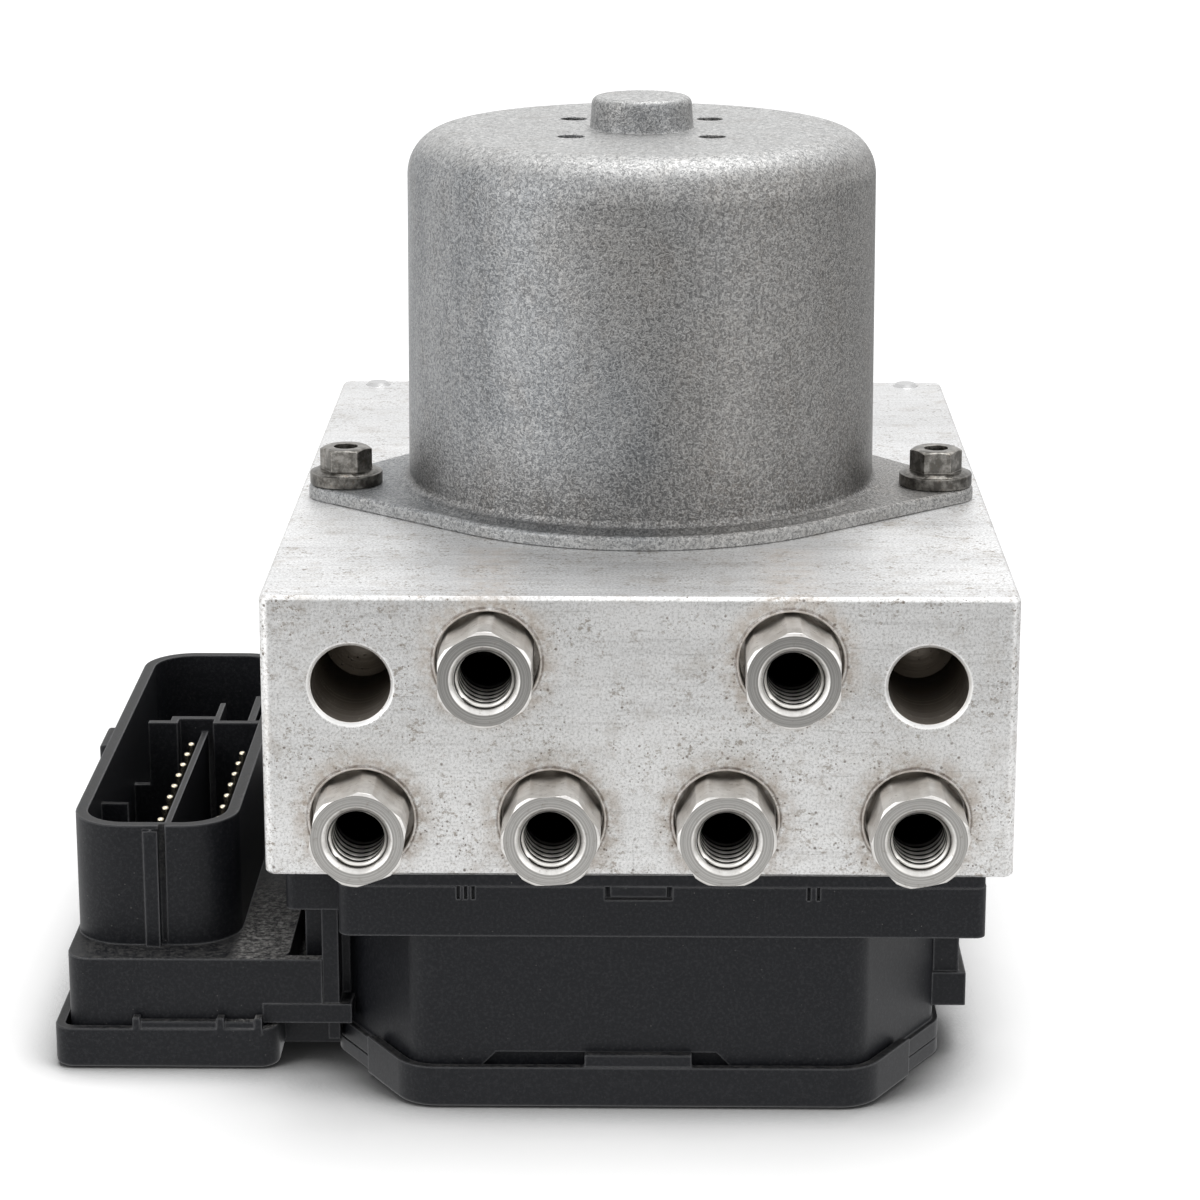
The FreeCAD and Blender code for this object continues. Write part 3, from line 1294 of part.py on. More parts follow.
def arm_front_link():
    # Front wall, post and band that tie the arm to the slanted corner of the body.
    front = -ARM_FRONT
    low = ARM_BAND_BOTTOM
    high = DECK_UNDERSIDE + OVERLAP
    arm_end = -ARM_RIGHT - ARM_CORNER_RADIUS
    post_right = POST_WIDTH - WELL_RIGHT
    web_back = WEB_Y + BRIDGE_WALL
    band_end = ARM_BAND_REACH - BODY_HALF_WIDTH
    wall = box((arm_end, -WELL_RIGHT), (front, front + BRIDGE_WALL), (low, ARM_TOP))
    post = box((-WELL_RIGHT, post_right), (front + POST_SETBACK, web_back), (low, high))
    foot = box(
        (post_right - POST_SETBACK - POST_FOOT_WIDTH, post_right - POST_SETBACK),
        (WEB_Y - OVERLAP, web_back),
        (low - POST_FOOT_DROP, low + OVERLAP),
    )
    web = box((-WELL_RIGHT - WEB_LEFT_REACH, WEB_RIGHT_REACH - BODY_HALF_WIDTH), (WEB_Y, web_back), (low, high))
    side = box((-WELL_RIGHT, BRIDGE_WALL - WELL_RIGHT), (WEB_Y, -WELL_BACK), (low, ARM_TOP + WELL_WALL_RISE))
    band = box((arm_end, band_end), (front - ARM_BAND_STEP, WEB_Y + OVERLAP), (low, ARM_BAND_TOP))
    floor = box(
        (-ARM_RIGHT - OVERLAP, OVERLAP - WELL_RIGHT),
        (front + OVERLAP, OVERLAP - WELL_BACK),
        (low, low + BRIDGE_WALL),
    )
    infill = box(
        (-WELL_RIGHT, OVERLAP - BODY_HALF_WIDTH),
        (WEB_Y, INFILL_DEPTH - COVER_BRIDGE_FRONT),
        (low, ARM_BAND_TOP),
    )
    return [wall, post, foot, web, side, band, floor, infill]


def well():
    # Open pocket between arm and body, deeper at its front, with a low rib and a panel left standing.
    x_range = (-ARM_RIGHT, -WELL_RIGHT)
    step_y = -LINK_OUTER_FRONT
    top = ARM_TOP + CUT_MARGIN
    deep = box(x_range, (BRIDGE_WALL - ARM_FRONT, step_y), (ARM_BAND_BOTTOM + BRIDGE_WALL, top))
    shallow = box(x_range, (step_y, -WELL_BACK), (PARTITION_TOP, top))
    rib = box(x_range, (-WELL_RIB_Y, RIB_THICKNESS - WELL_RIB_Y), (PARTITION_TOP, ARM_TOP - WELL_RIB_DROP))
    panel = box((-WELL_RIGHT - WEB_LEFT_REACH, -WELL_RIGHT), (WEB_Y, WEB_Y + BRIDGE_WALL), (0, top))
    return deep.fuse(shallow).cut([rib, panel])


def shroud():
    return slab(shroud_outline(), ARM_TOP - OVERLAP, ECU_HEIGHT)


def guide_rib():
    # Upright key on the shroud's front wall, beside a narrow slot.
    front = -SHROUD_FRONT
    x_range = (GUIDE_X - GUIDE_WIDTH / 2, GUIDE_X + GUIDE_WIDTH / 2)
    return box(x_range, (front - GUIDE_PROUD, front + OVERLAP), (ARM_TOP - OVERLAP, ECU_HEIGHT - GUIDE_DROP))


def guide_slot():
    front = -SHROUD_FRONT
    left = GUIDE_X + GUIDE_WIDTH / 2
    y_range = (front - CUT_MARGIN, front + GUIDE_SLOT_DEPTH)
    return box((left, left + GUIDE_SLOT_WIDTH), y_range, (ARM_TOP + GUIDE_DROP, ECU_HEIGHT + CUT_MARGIN))


def shroud_lug():
    left = -SHROUD_LEFT
    top = ECU_HEIGHT - LUG_DROP
    y_range = (LUG_Y - LUG_LENGTH / 2, LUG_Y + LUG_LENGTH / 2)
    lug = box((left - LUG_PROUD, left + OVERLAP), y_range, (top - LUG_HEIGHT, top))
    outer = [edge for edge in lug.Edges if edge.BoundBox.XMax < left - LUG_PROUD + 0.01]
    return lug.makeFillet(LUG_FILLET, outer)


def socket_cavity():
    cavity = slab(shroud_outline(), SOCKET_FLOOR, ECU_HEIGHT + CUT_MARGIN, -SHROUD_WALL)
    return cavity.cut(socket_ribs())


def socket_divider():
    # Cross wall of the socket: low at its left end, set back around the middle rib.
    left = -SHROUD_LEFT
    low = SOCKET_FLOOR - OVERLAP
    top = ECU_HEIGHT - DIVIDER_DROP
    thick = DIVIDER_THICKNESS
    front = DIVIDER_Y - thick / 2
    low_end = left + DIVIDER_LOW_LENGTH
    jog_left = RIB_X - DIVIDER_JOG_LEFT
    jog_right = RIB_X + DIVIDER_JOG_RIGHT
    return [
        box((left, low_end), (front, front + thick), (low, top - DIVIDER_LOW_DROP)),
        box((low_end, jog_left), (front, front + thick), (low, top)),
        box((jog_left - thick, jog_left), (front, front + thick + DIVIDER_JOG), (low, top)),
        box((jog_left - thick, jog_right), (front + DIVIDER_JOG, front + thick + DIVIDER_JOG), (low, top)),
        box((jog_right, -SHROUD_RIGHT), (front, front + thick), (low, top)),
        box((jog_right, jog_right + RIB_THICKNESS), (front, front + thick + KEY_LENGTH), (low, top)),
    ]


def socket_ribs():
    left = -SHROUD_LEFT
    low = SOCKET_FLOOR - OVERLAP
    rib_top = ECU_HEIGHT - RIB_DROP
    wide_key_left = left + WIDE_KEY_INSET
    middle = box(
        (RIB_X - RIB_THICKNESS / 2, RIB_X + RIB_THICKNESS / 2),
        (-SHROUD_FRONT, DIVIDER_Y + DIVIDER_JOG),
        (low, rib_top),
    )
    wide_key = box(
        (wide_key_left, wide_key_left + WIDE_KEY_THICKNESS),
        (DIVIDER_Y, DIVIDER_Y + WIDE_KEY_LENGTH),
        (low, ECU_HEIGHT - DIVIDER_DROP),
    )
    side_key = box((left, left + SIDE_KEY_REACH), (-SIDE_KEY_Y, RIB_THICKNESS - SIDE_KEY_Y), (low, rib_top))
    return joined(socket_divider() + [middle, wide_key, side_key])


def pin_places():
    rows = zip(PIN_ROW_INSETS, PIN_ROW_STARTS, PIN_ROW_COUNTS)
    return [
        (inset - SHROUD_LEFT, start - PIN_PITCH * index)
        for inset, start, count in rows
        for index in range(count)
    ]


def blade_places():
    middle = -(SHROUD_LEFT + SHROUD_RIGHT) / 2
    return [(middle, y) for y in BLADE_Y]


def pin_holes():
    floor = (SOCKET_FLOOR - SOCKET_FLOOR_THICKNESS - CUT_MARGIN, SOCKET_FLOOR + CUT_MARGIN)
    holes = [upright_bar(PIN_RADIUS + PRESS_CLEARANCE, x, y, floor) for x, y in pin_places()]
    for x, y in blade_places():
        room = BLADE_THICKNESS / 2 + PRESS_CLEARANCE
        wide = BLADE_WIDTH / 2 + PRESS_CLEARANCE
        holes.append(box((x - wide, x + wide), (y - room, y + room), floor))
    return holes


def coil_chamber():
    return slab(body_outline(), PARTITION_TOP, ECU_HEIGHT + CUT_MARGIN, -HOUSING_WALL)


def board_room(low, high, arm_high, inset, link_front, link_back, link_reach):
    # Room under the partition, out into the arm through the link between them.
    arm_corners = rectangle((-ARM_LEFT, COVER_GAP_X), (-ARM_FRONT, ARM_BACK), COVER_CORNER_RADIUS)
    link = box(
        (COVER_GAP_X - link_reach, link_reach - BODY_HALF_WIDTH),
        (link_front, link_back),
        (low, high),
    )
    return joined([slab(body_outline(), low, high, -inset), slab(arm_corners, low, arm_high, -inset), link])


def board_chamber():
    return board_room(
        SPLIT_Z - CUT_MARGIN,
        PARTITION_BOTTOM,
        SOCKET_FLOOR - SOCKET_FLOOR_THICKNESS,
        HOUSING_WALL,
        -LINK_INNER_FRONT,
        BODY_CHAMFER_END - LINK_BACK_MARGIN,
        HOUSING_WALL + OVERLAP,
    )


def circuit_board():
    return board_room(
        BOARD_TOP - BOARD_THICKNESS,
        BOARD_TOP,
        BOARD_TOP,
        HOUSING_WALL + BOARD_CLEARANCE,
        BOARD_CLEARANCE - LINK_INNER_FRONT,
        BODY_CHAMFER_END - LINK_BACK_MARGIN - BOARD_CLEARANCE,
        HOUSING_WALL + BOARD_CLEARANCE + OVERLAP,
    )


def board_bosses():
    places = [(side * BODY_CHAMFER_X, y) for side in (-1, 1) for y in BOARD_BOSS_Y]
    places.append((0, BOARD_CENTRE_BOSS_Y))
    top = PARTITION_BOTTOM + PARTITION_THICKNESS / 2
    return [upright_cylinder(BOARD_BOSS_RADIUS, BOARD_TOP, top, x, y) for x, y in places]


def latch_pocket():
    # Shallow trapezoid in the front wall, above the tongue of the cover.
    half = LATCH_POCKET_WIDTH / 2
    low = COVER_PLATE + CUT_MARGIN
    points = [
        vec(-half, 0, low),
        vec(half, 0, low),
        vec(half, 0, LATCH_POCKET_TOP - LATCH_POCKET_SLOPE),
        vec(half - LATCH_POCKET_SLOPE, 0, LATCH_POCKET_TOP),
        vec(LATCH_POCKET_SLOPE - half, 0, LATCH_POCKET_TOP),
        vec(-half, 0, LATCH_POCKET_TOP - LATCH_POCKET_SLOPE),
    ]
    side = Part.Face(Part.makePolygon(points + points[:1]))
    pocket = side.extrude(vec(0, LATCH_POCKET_DEPTH + CUT_MARGIN, 0))
    pocket.translate(vec(LATCH_POCKET_X, -BODY_FRONT - CUT_MARGIN, 0))
    return pocket


def deck_front_cuts():
    front = -DECK_FRONT
    y_range = (front - CUT_MARGIN, front + DECK_SLOT_DEPTH)
    top = ECU_HEIGHT - DECK_PARTING_DROP
    bottom = top - DECK_SLOT_HEIGHT
    half_slot = DECK_SLOT_WIDTH / 2
    half = DECK_POCKET_WIDTH / 2
    cuts = [box((x - half_slot, x + half_slot), y_range, (bottom, top)) for x in DECK_SLOT_PLACES]
    pocket = box((-half, half), y_range, (bottom, top))
    tab = box(
        (DECK_TAB_GAP - half, half - DECK_TAB_GAP),
        (front + DECK_TAB_SETBACK, front + DECK_SLOT_DEPTH + CUT_MARGIN),
        (bottom + DECK_TAB_LOW_GAP, top + CUT_MARGIN),
    )
    cuts.append(pocket.cut(tab))
    return cuts


def clip_block():
    # Small locking block on the right side wall, wider below its step.
    x_low = BODY_HALF_WIDTH - OVERLAP
    outer = BODY_HALF_WIDTH + CLIP_PROUD
    front = -CLIP_FRONT
    back = front + CLIP_LENGTH
    low = box((x_low, outer), (front, back), (CLIP_BOTTOM, CLIP_STEP_Z))
    high = box(
        (x_low, outer - CLIP_STEP),
        (front + CLIP_CORNER_STEP, back),
        (CLIP_STEP_Z, DECK_UNDERSIDE + OVERLAP),
    )
    return [low, high]


def gasket_ring():
    low = ECU_HEIGHT - GASKET_HEIGHT
    outer = slab(body_outline(), low, ECU_HEIGHT, -GASKET_INSET)
    inner = slab(body_outline(), low - CUT_MARGIN, ECU_HEIGHT + CUT_MARGIN, -GASKET_INSET - GASKET_WIDTH)
    return outer.cut(inner)


def ecu_screw_clearances():
    radius = ECU_SCREW_RADIUS + ASSEMBLY_CLEARANCE
    low = DECK_UNDERSIDE - CUT_MARGIN
    return [upright_cylinder(radius, low, ECU_HEIGHT + CUT_MARGIN, x, y) for x, y in ecu_screw_places()]


def coil_pin_holes():
    half = COIL_PIN / 2 + ASSEMBLY_CLEARANCE
    z_range = (PARTITION_BOTTOM - CUT_MARGIN, PARTITION_TOP + CUT_MARGIN)
    return [upright_bar(half, x, y, z_range) for x, y in coil_pin_places()]


def ecu_housing():
    shell = joined([housing_shell()] + arm_front_link() + clip_block())
    shell = shell.cut([coil_chamber(), board_chamber(), well()])
    shell = joined([shell, shroud(), guide_rib(), shroud_lug()] + board_bosses())
    cuts = [socket_cavity(), guide_slot(), latch_pocket(), gasket_ring()]
    cuts += deck_front_cuts()
    cuts += pin_holes()
    cuts += coil_pin_holes()
    cuts += ecu_screw_clearances()
    return shell.cut(cuts)


def rounded_below(tray):
    edges = [edge for edge in tray.Edges if edge.BoundBox.ZMax < 0.01]
    return tray.makeFillet(COVER_EDGE_FILLET, edges)


def front_tray():
    # Shallow tray round the front of the body, and a short one round its back.
    room_top = COVER_LIP_HEIGHT + CUT_MARGIN
    tray = rounded_below(slab(body_outline(), 0, COVER_LIP_HEIGHT, COVER_GAP + COVER_LIP_WALL))
    tray = tray.cut(slab(body_outline(), COVER_PLATE, room_top, COVER_GAP))
    middle = box((-ARM_LEFT, ARM_LEFT), (-COVER_LIP_END, BODY_BACK - RIM_BACK_MARGIN), (-CUT_MARGIN, room_top))
    return tray.cut(middle)


def arm_tray():
    step = COVER_GAP + COVER_LIP_WALL
    room_top = COVER_LIP_HEIGHT + CUT_MARGIN
    x_range = (-ARM_LEFT - step, -TRAY_RIGHT)
    outline = rectangle(x_range, (-ARM_FRONT - step, ARM_BACK + step), COVER_CORNER_RADIUS)
    tray = rounded_below(slab(outline, 0, COVER_LIP_HEIGHT))
    tray = tray.cut(slab(outline, COVER_PLATE, room_top, -COVER_LIP_WALL))
    gate = box(
        (-TRAY_RIGHT - COVER_LIP_WALL - CUT_MARGIN, CUT_MARGIN - TRAY_RIGHT),
        (-COVER_BRIDGE_FRONT, BODY_CHAMFER_END + CUT_MARGIN),
        (COVER_PLATE, room_top),
    )
    return tray.cut(gate)


def cover_strip():
    # Low strip with three lugs along the front of the arm's tray.
    front = -ARM_FRONT - COVER_GAP - COVER_LIP_WALL
    back = -ARM_FRONT - COVER_STRIP_GAP
    low = COVER_LIP_HEIGHT - OVERLAP
    left = COVER_STRIP_INSET - ARM_LEFT
    half = COVER_LUG_WIDTH / 2
    strip = box(
        (left, left + COVER_STRIP_LENGTH),
        (front + COVER_STRIP_SETBACK, back),
        (low, COVER_LIP_HEIGHT + COVER_STRIP_HEIGHT),
    )
    lugs = [
        box(
            (inset - ARM_LEFT - half, inset - ARM_LEFT + half),
            (front, back),
            (low, COVER_LIP_HEIGHT + COVER_LUG_HEIGHT),
        )
        for inset in COVER_LUG_INSETS
    ]
    return [strip] + lugs


def cover_tongue():
    half = LATCH_TONGUE_WIDTH / 2
    front = -BODY_FRONT - COVER_GAP - COVER_LIP_WALL
    return box(
        (-half, half),
        (front + COVER_STRIP_SETBACK, -BODY_FRONT - COVER_STRIP_GAP),
        (COVER_LIP_HEIGHT - OVERLAP, COVER_LIP_HEIGHT + LATCH_TONGUE_RISE),
    )


def ecu_cover():
    plate = slab(body_outline(), 0, COVER_PLATE, RIM_STEP)
    bridge = box(
        (-TRAY_RIGHT - OVERLAP, 2 * OVERLAP - BODY_HALF_WIDTH),
        (-COVER_BRIDGE_FRONT, BODY_CHAMFER_END),
        (0, COVER_PLATE),
    )
    skirt = box(
        (-TRAY_RIGHT - OVERLAP, -BODY_HALF_WIDTH - COVER_GAP - RIM_STEP),
        (-COVER_BRIDGE_FRONT, -COVER_BRIDGE_FRONT + COVER_LIP_WALL),
        (0, ARM_BAND_BOTTOM - COVER_SKIRT_GAP),
    )
    return joined([plate, bridge, skirt, front_tray(), arm_tray(), cover_tongue()] + cover_strip())


def connector_pin(x, y):
    shank = upright_bar(PIN_RADIUS, x, y, (BOARD_TOP, SOCKET_FLOOR))
    rod = upright_cylinder(PIN_RADIUS, SOCKET_FLOOR, PIN_TIP_Z, x, y)
    return joined([shank, rod])


def connector_blade(x, y):
    half = BLADE_THICKNESS / 2
    return box((x - BLADE_WIDTH / 2, x + BLADE_WIDTH / 2), (y - half, y + half), (BOARD_TOP, BLADE_TIP_Z))


def connector_pins():
    pins = [connector_pin(x, y) for x, y in pin_places()]
    pins += [connector_blade(x, y) for x, y in blade_places()]
    return Part.makeCompound(pins)


def ecu_screw(x, y):
    head_low = DECK_UNDERSIDE - ECU_SCREW_HEAD_HEIGHT
    head = upright_cylinder(ECU_SCREW_HEAD_RADIUS, head_low, DECK_UNDERSIDE, x, y)
    shank = upright_cylinder(ECU_SCREW_RADIUS, DECK_UNDERSIDE, BLOCK_BASE + ECU_SCREW_DEPTH, x, y)
    socket_top = head_low + ECU_SCREW_SOCKET_DEPTH
    socket = upright_cylinder(ECU_SCREW_SOCKET_RADIUS, head_low - CUT_MARGIN, socket_top, x, y)
    return joined([head, shank]).cut(socket)


def ecu_screws():
    return Part.makeCompound([ecu_screw(x, y) for x, y in ecu_screw_places()])


def all_nodes():
    nodes = {
        "valve_block": valve_block(),
        "passage_plugs": passage_plugs(),
        "motor_can": motor_can(),
        "motor_screws": motor_screws(),
        "armature_core": armature_core(),
        "armature_winding": armature_winding(),
        "commutator": commutator(),
        "motor_shaft": motor_shaft(),
        "eccentric_ring": eccentric_ring(),
        "upper_bearing": upper_bearing(),
        "lower_bearing": lower_bearing(),
        "brush_plate": brush_plate(),
        "ecu_housing": ecu_housing(),
        "ecu_cover": ecu_cover(),
        "ecu_gasket": gasket_ring(),
        "ecu_screws": ecu_screws(),
        "circuit_board": circuit_board(),
        "connector_pins": connector_pins(),
        "solenoid_coils": solenoid_coils(),
    }
    for index, (x, z, turn) in enumerate(port_places(), start=1):
        nodes[f"port_fitting_{index}"] = port_fitting(x, z, turn)
    for index, (x, y) in enumerate(valve_places(), start=1):
        nodes[f"valve_body_{index}"] = valve_body(x, y)
        nodes[f"valve_plunger_{index}"] = valve_plunger(x, y)
    paired = {
        "magnet": magnet,
        "brush": brush,
        "brush_spring": brush_spring,
        "pump_piston": pump_piston,
        "pump_spring": pump_spring,
        "pump_plug": pump_plug,
        "accumulator_piston": accumulator_piston,
        "accumulator_spring": accumulator_spring,
        "accumulator_cap": accumulator_cap,
    }
    for name, make in paired.items():
        nodes[f"{name}_left"] = make(-1)
        nodes[f"{name}_right"] = make(1)
    return nodes


os.makedirs("parts", exist_ok=True)
for node, shape in all_nodes().items():
    shape.exportStep(f"parts/{node}.step")
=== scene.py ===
import json
import math

import bmesh
import bpy
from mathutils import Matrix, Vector
from mathutils.geometry import intersect_point_line

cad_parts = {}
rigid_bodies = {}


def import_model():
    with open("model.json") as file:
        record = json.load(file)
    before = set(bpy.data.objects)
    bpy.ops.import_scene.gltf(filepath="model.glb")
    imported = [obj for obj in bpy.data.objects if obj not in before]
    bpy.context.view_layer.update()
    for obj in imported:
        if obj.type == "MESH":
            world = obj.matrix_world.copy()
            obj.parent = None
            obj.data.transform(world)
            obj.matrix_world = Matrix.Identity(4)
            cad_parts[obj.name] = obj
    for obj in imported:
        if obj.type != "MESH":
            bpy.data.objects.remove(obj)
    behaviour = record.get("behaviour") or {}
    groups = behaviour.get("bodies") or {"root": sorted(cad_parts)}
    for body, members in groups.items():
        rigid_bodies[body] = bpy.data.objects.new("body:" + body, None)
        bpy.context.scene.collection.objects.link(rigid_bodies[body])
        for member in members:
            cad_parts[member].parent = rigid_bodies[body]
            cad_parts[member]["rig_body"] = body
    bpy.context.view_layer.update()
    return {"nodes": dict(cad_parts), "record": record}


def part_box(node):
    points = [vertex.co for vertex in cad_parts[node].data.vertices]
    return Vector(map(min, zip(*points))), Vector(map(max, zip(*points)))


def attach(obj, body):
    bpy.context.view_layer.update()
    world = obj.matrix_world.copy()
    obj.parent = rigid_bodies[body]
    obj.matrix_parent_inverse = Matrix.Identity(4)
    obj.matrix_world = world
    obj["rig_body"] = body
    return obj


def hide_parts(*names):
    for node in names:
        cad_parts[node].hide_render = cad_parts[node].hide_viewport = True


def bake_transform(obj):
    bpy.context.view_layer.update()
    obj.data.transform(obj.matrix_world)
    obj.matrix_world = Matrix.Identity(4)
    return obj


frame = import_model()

MM = 0.001

# How the nodes' meshes are joined up and eased
WELD_DISTANCE = 0.002
FLAT_WITHIN = 0.4
STRAIGHT_ON = 0.9
ROOM_SHARE = 0.42
DISC_WITHIN = 1.01
SHARP_LEFT = 50

# Places on the pieces that the finishes follow
FACE_CHAMFER = 0.3
FLANGE_THICKNESS = 2.2
WASHER_THICKNESS = 1.9
BLOCK_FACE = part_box("valve_block")[0].y / MM + FACE_CHAMFER
FLANGE_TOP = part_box("motor_can")[0].z / MM + FLANGE_THICKNESS
WASHER_TOP = FLANGE_TOP + WASHER_THICKNESS
PIN_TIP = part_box("connector_pins")[1].z / MM
LIP_RADIUS = 8.1
BORE_RADIUS = 5.8
BORE_END = 28.0
VENT_X = 10.9
VENT_Y = 10.2
VENT_RADIUS = 2.1
FITTING_BORE = (4.55, 4.75)
LEDGE_LEFT = -63.0
LEDGE_RIGHT = -45.0
LEDGE_BACK = -4.0
LEDGE_LENGTH = 38.0

# Thread of the pipe fittings
THREAD_PITCH = 1.8
THREAD_DEPTH = 0.60
THREAD_WALL = 4.46
THREAD_START = 0.75
THREAD_LENGTH = 12.6
THREAD_STEEPNESS = 3.2
THREAD_CLEAR = 0.02

# How far a shift of 1 moves a pattern, and the spread of noise and cells that the finishes count on
SHIFT_STEP = (97.0, 61.0, 43.0)
NOISE_SPREAD = 0.9
NOISE_BASE = 0.05
CELL_SPREAD = 1.22
CELL_POWER = 0.75
CELL_SHARE = 0.96

# Floor and surroundings
FLOOR_REACH = 6.0
FLOOR_DROP = 0.2
WHITE = (1, 1, 1)
FLOOR_COLOUR = (0.72, 0.72, 0.72)
FLOOR_GLOW = 0.50
FLOOR_OPEN = (0.52, 0.80)
SHADOW_REACH = 0.030
FLOOR_CLEAR = 0.17
CONTACT_REACH = 0.008
CONTACT_SHADE = (0.20, 0.20, 0.20)
NEAR_LEVEL = 1.0
FAR_LEVEL = 0.12
FAR_DISTANCES = (0.22, 0.36)
LIGHT_BANDS = ((16, 46, 66, 0.90, 0.35), (-16, -52, -86, 1.45, 0.75))
WORLD_LIGHT = 0.5
LAMPS_AIM = (0, 0, 0.06)

# Camera, in the photograph's frame of 1200 pixels
FRAME_PIXELS = 1200
FOCAL_PIXELS = 3600
SENSOR = 36.0
CAMERA_PLACE = (0.95 * MM, -566.49 * MM, 214.90 * MM)
CAMERA_PITCH = math.radians(15.26)
CAMERA_YAW = math.radians(0.76)


# Shader maths

class Value:
    """A socket that carries a number, a vector or a colour, with the usual arithmetic on numbers."""

    def __init__(self, paint, socket):
        self.paint = paint
        self.socket = socket

    def math(self, operation, *others):
        settings = {"operation": operation}
        return self.paint.node("ShaderNodeMath", settings, dict(enumerate((self,) + others)))

    def __add__(self, other):
        return self.math("ADD", other)

    __radd__ = __add__

    def __mul__(self, other):
        return self.math("MULTIPLY", other)

    __rmul__ = __mul__

    def __sub__(self, other):
        return self.math("SUBTRACT", other)

    def __rsub__(self, other):
        return self.paint.node("ShaderNodeMath", {"operation": "SUBTRACT"}, {0: other, 1: self})

    def power(self, exponent):
        return self.math("POWER", exponent)

    def least(self, other):
        return self.math("MINIMUM", other)

    def most(self, other):
        return self.math("MAXIMUM", other)

    def size(self):
        return self.math("ABSOLUTE")

    def ramp(self, low, high, start=0.0, end=1.0):
        """Runs smoothly from start to end as the value goes from low to high."""
        settings = {"interpolation_type": "SMOOTHSTEP", "clamp": True}
        values = {"Value": self, "From Min": low, "From Max": high, "To Min": start, "To Max": end}
        return self.paint.node("ShaderNodeMapRange", settings, values)


class Paint:
    """One material, or the world, under construction."""

    def __init__(self, name, owner=None):
        self.owner = owner or bpy.data.materials.new(name)
        self.owner.use_nodes = True
        self.tree = self.owner.node_tree
        self.tree.nodes.clear()

    def put(self, socket, value):
        if isinstance(value, Value):
            self.tree.links.new(value.socket, socket)
        elif socket.type == "RGBA":
            socket.default_value = (*value, 1.0)
        else:
            socket.default_value = value

    def node(self, kind, settings=None, values=None, output=0):
        """Makes a node, sets it up, feeds its sockets and gives one of its outputs, if it has any."""
        made = self.tree.nodes.new(kind)
        for name, setting in (settings or {}).items():
            setattr(made, name, setting)
        for socket, value in (values or {}).items():
            self.put(made.inputs[socket], value)
        return Value(self, made.outputs[output]) if made.outputs else None

    def place(self, stretch=(1, 1, 1), shift=0.0):
        """Millimetres on the piece, stretched so that grain runs one way and shifted to vary it."""
        where = self.node("ShaderNodeTexCoord", output="Object")
        factors = tuple(1000.0 * factor for factor in stretch)
        moved = tuple(shift * step for step in SHIFT_STEP)
        values = {0: where, 1: factors, 2: moved}
        return self.node("ShaderNodeVectorMath", {"operation": "MULTIPLY_ADD"}, values)

    def along(self, axis, start):
        """Millimetres along an axis of the object, counted from a start."""
        return self.share(self.place(), axis) - start

    def facing(self, axis):
        """How far the surface faces along an axis of the object, from -1 to 1."""
        return self.share(self.node("ShaderNodeTexCoord", output="Normal"), axis)

    def share(self, vector, direction):
        """How much of a vector runs along a direction."""
        values = {0: vector, 1: direction}
        return self.node("ShaderNodeVectorMath", {"operation": "DOT_PRODUCT"}, values, "Value")

    def noise(self, size, stretch=(1, 1, 1), detail=3.0, roughness=0.5, shift=0.0):
        """Soft noise from 0 to 1 whose lumps are about size millimetres across."""
        where = self.place(stretch, shift)
        values = {"Vector": where, "Scale": 1.0 / size, "Detail": detail, "Roughness": roughness}
        return self.node("ShaderNodeTexNoise", {"noise_dimensions": "3D"}, values) * NOISE_SPREAD + NOISE_BASE

    def bands(self, distance, per_millimetre):
        """Noise from 0 to 1 that varies along one distance only."""
        values = {"W": distance, "Scale": per_millimetre, "Detail": 3.0}
        return self.node("ShaderNodeTexNoise", {"noise_dimensions": "1D"}, values)

    def cells(self, size, shift=0.0):
        """Distance to the nearest of scattered points about size millimetres apart, as a share of size."""
        values = {"Vector": self.place(shift=shift), "Scale": 1.0 / (size * CELL_SPREAD)}
        gap = self.node("ShaderNodeTexVoronoi", {"voronoi_dimensions": "3D", "feature": "F1"}, values)
        return gap.power(CELL_POWER) * CELL_SHARE

    def mix(self, factor, low, high):
        """Goes from one colour to another."""
        return self.node("ShaderNodeMix", {"data_type": "RGBA"}, {0: factor, 6: low, 7: high}, 2)

    def bump(self, height, depth, before=None):
        """Relief of the given depth in millimetres."""
        values = {"Height": height, "Distance": depth * MM, "Strength": 1.0}
        if before is not None:
            values["Normal"] = before
        return self.node("ShaderNodeBump", None, values)

    def finish(self, **inputs):
        """Closes the material with one principled shader."""
        values = {name.replace("_", " "): value for name, value in inputs.items()}
        return self.close("ShaderNodeOutputMaterial", self.node("ShaderNodeBsdfPrincipled", None, values))

    def close(self, output, shader):
        self.node(output, None, {"Surface": shader})
        return self.owner


# Finishes

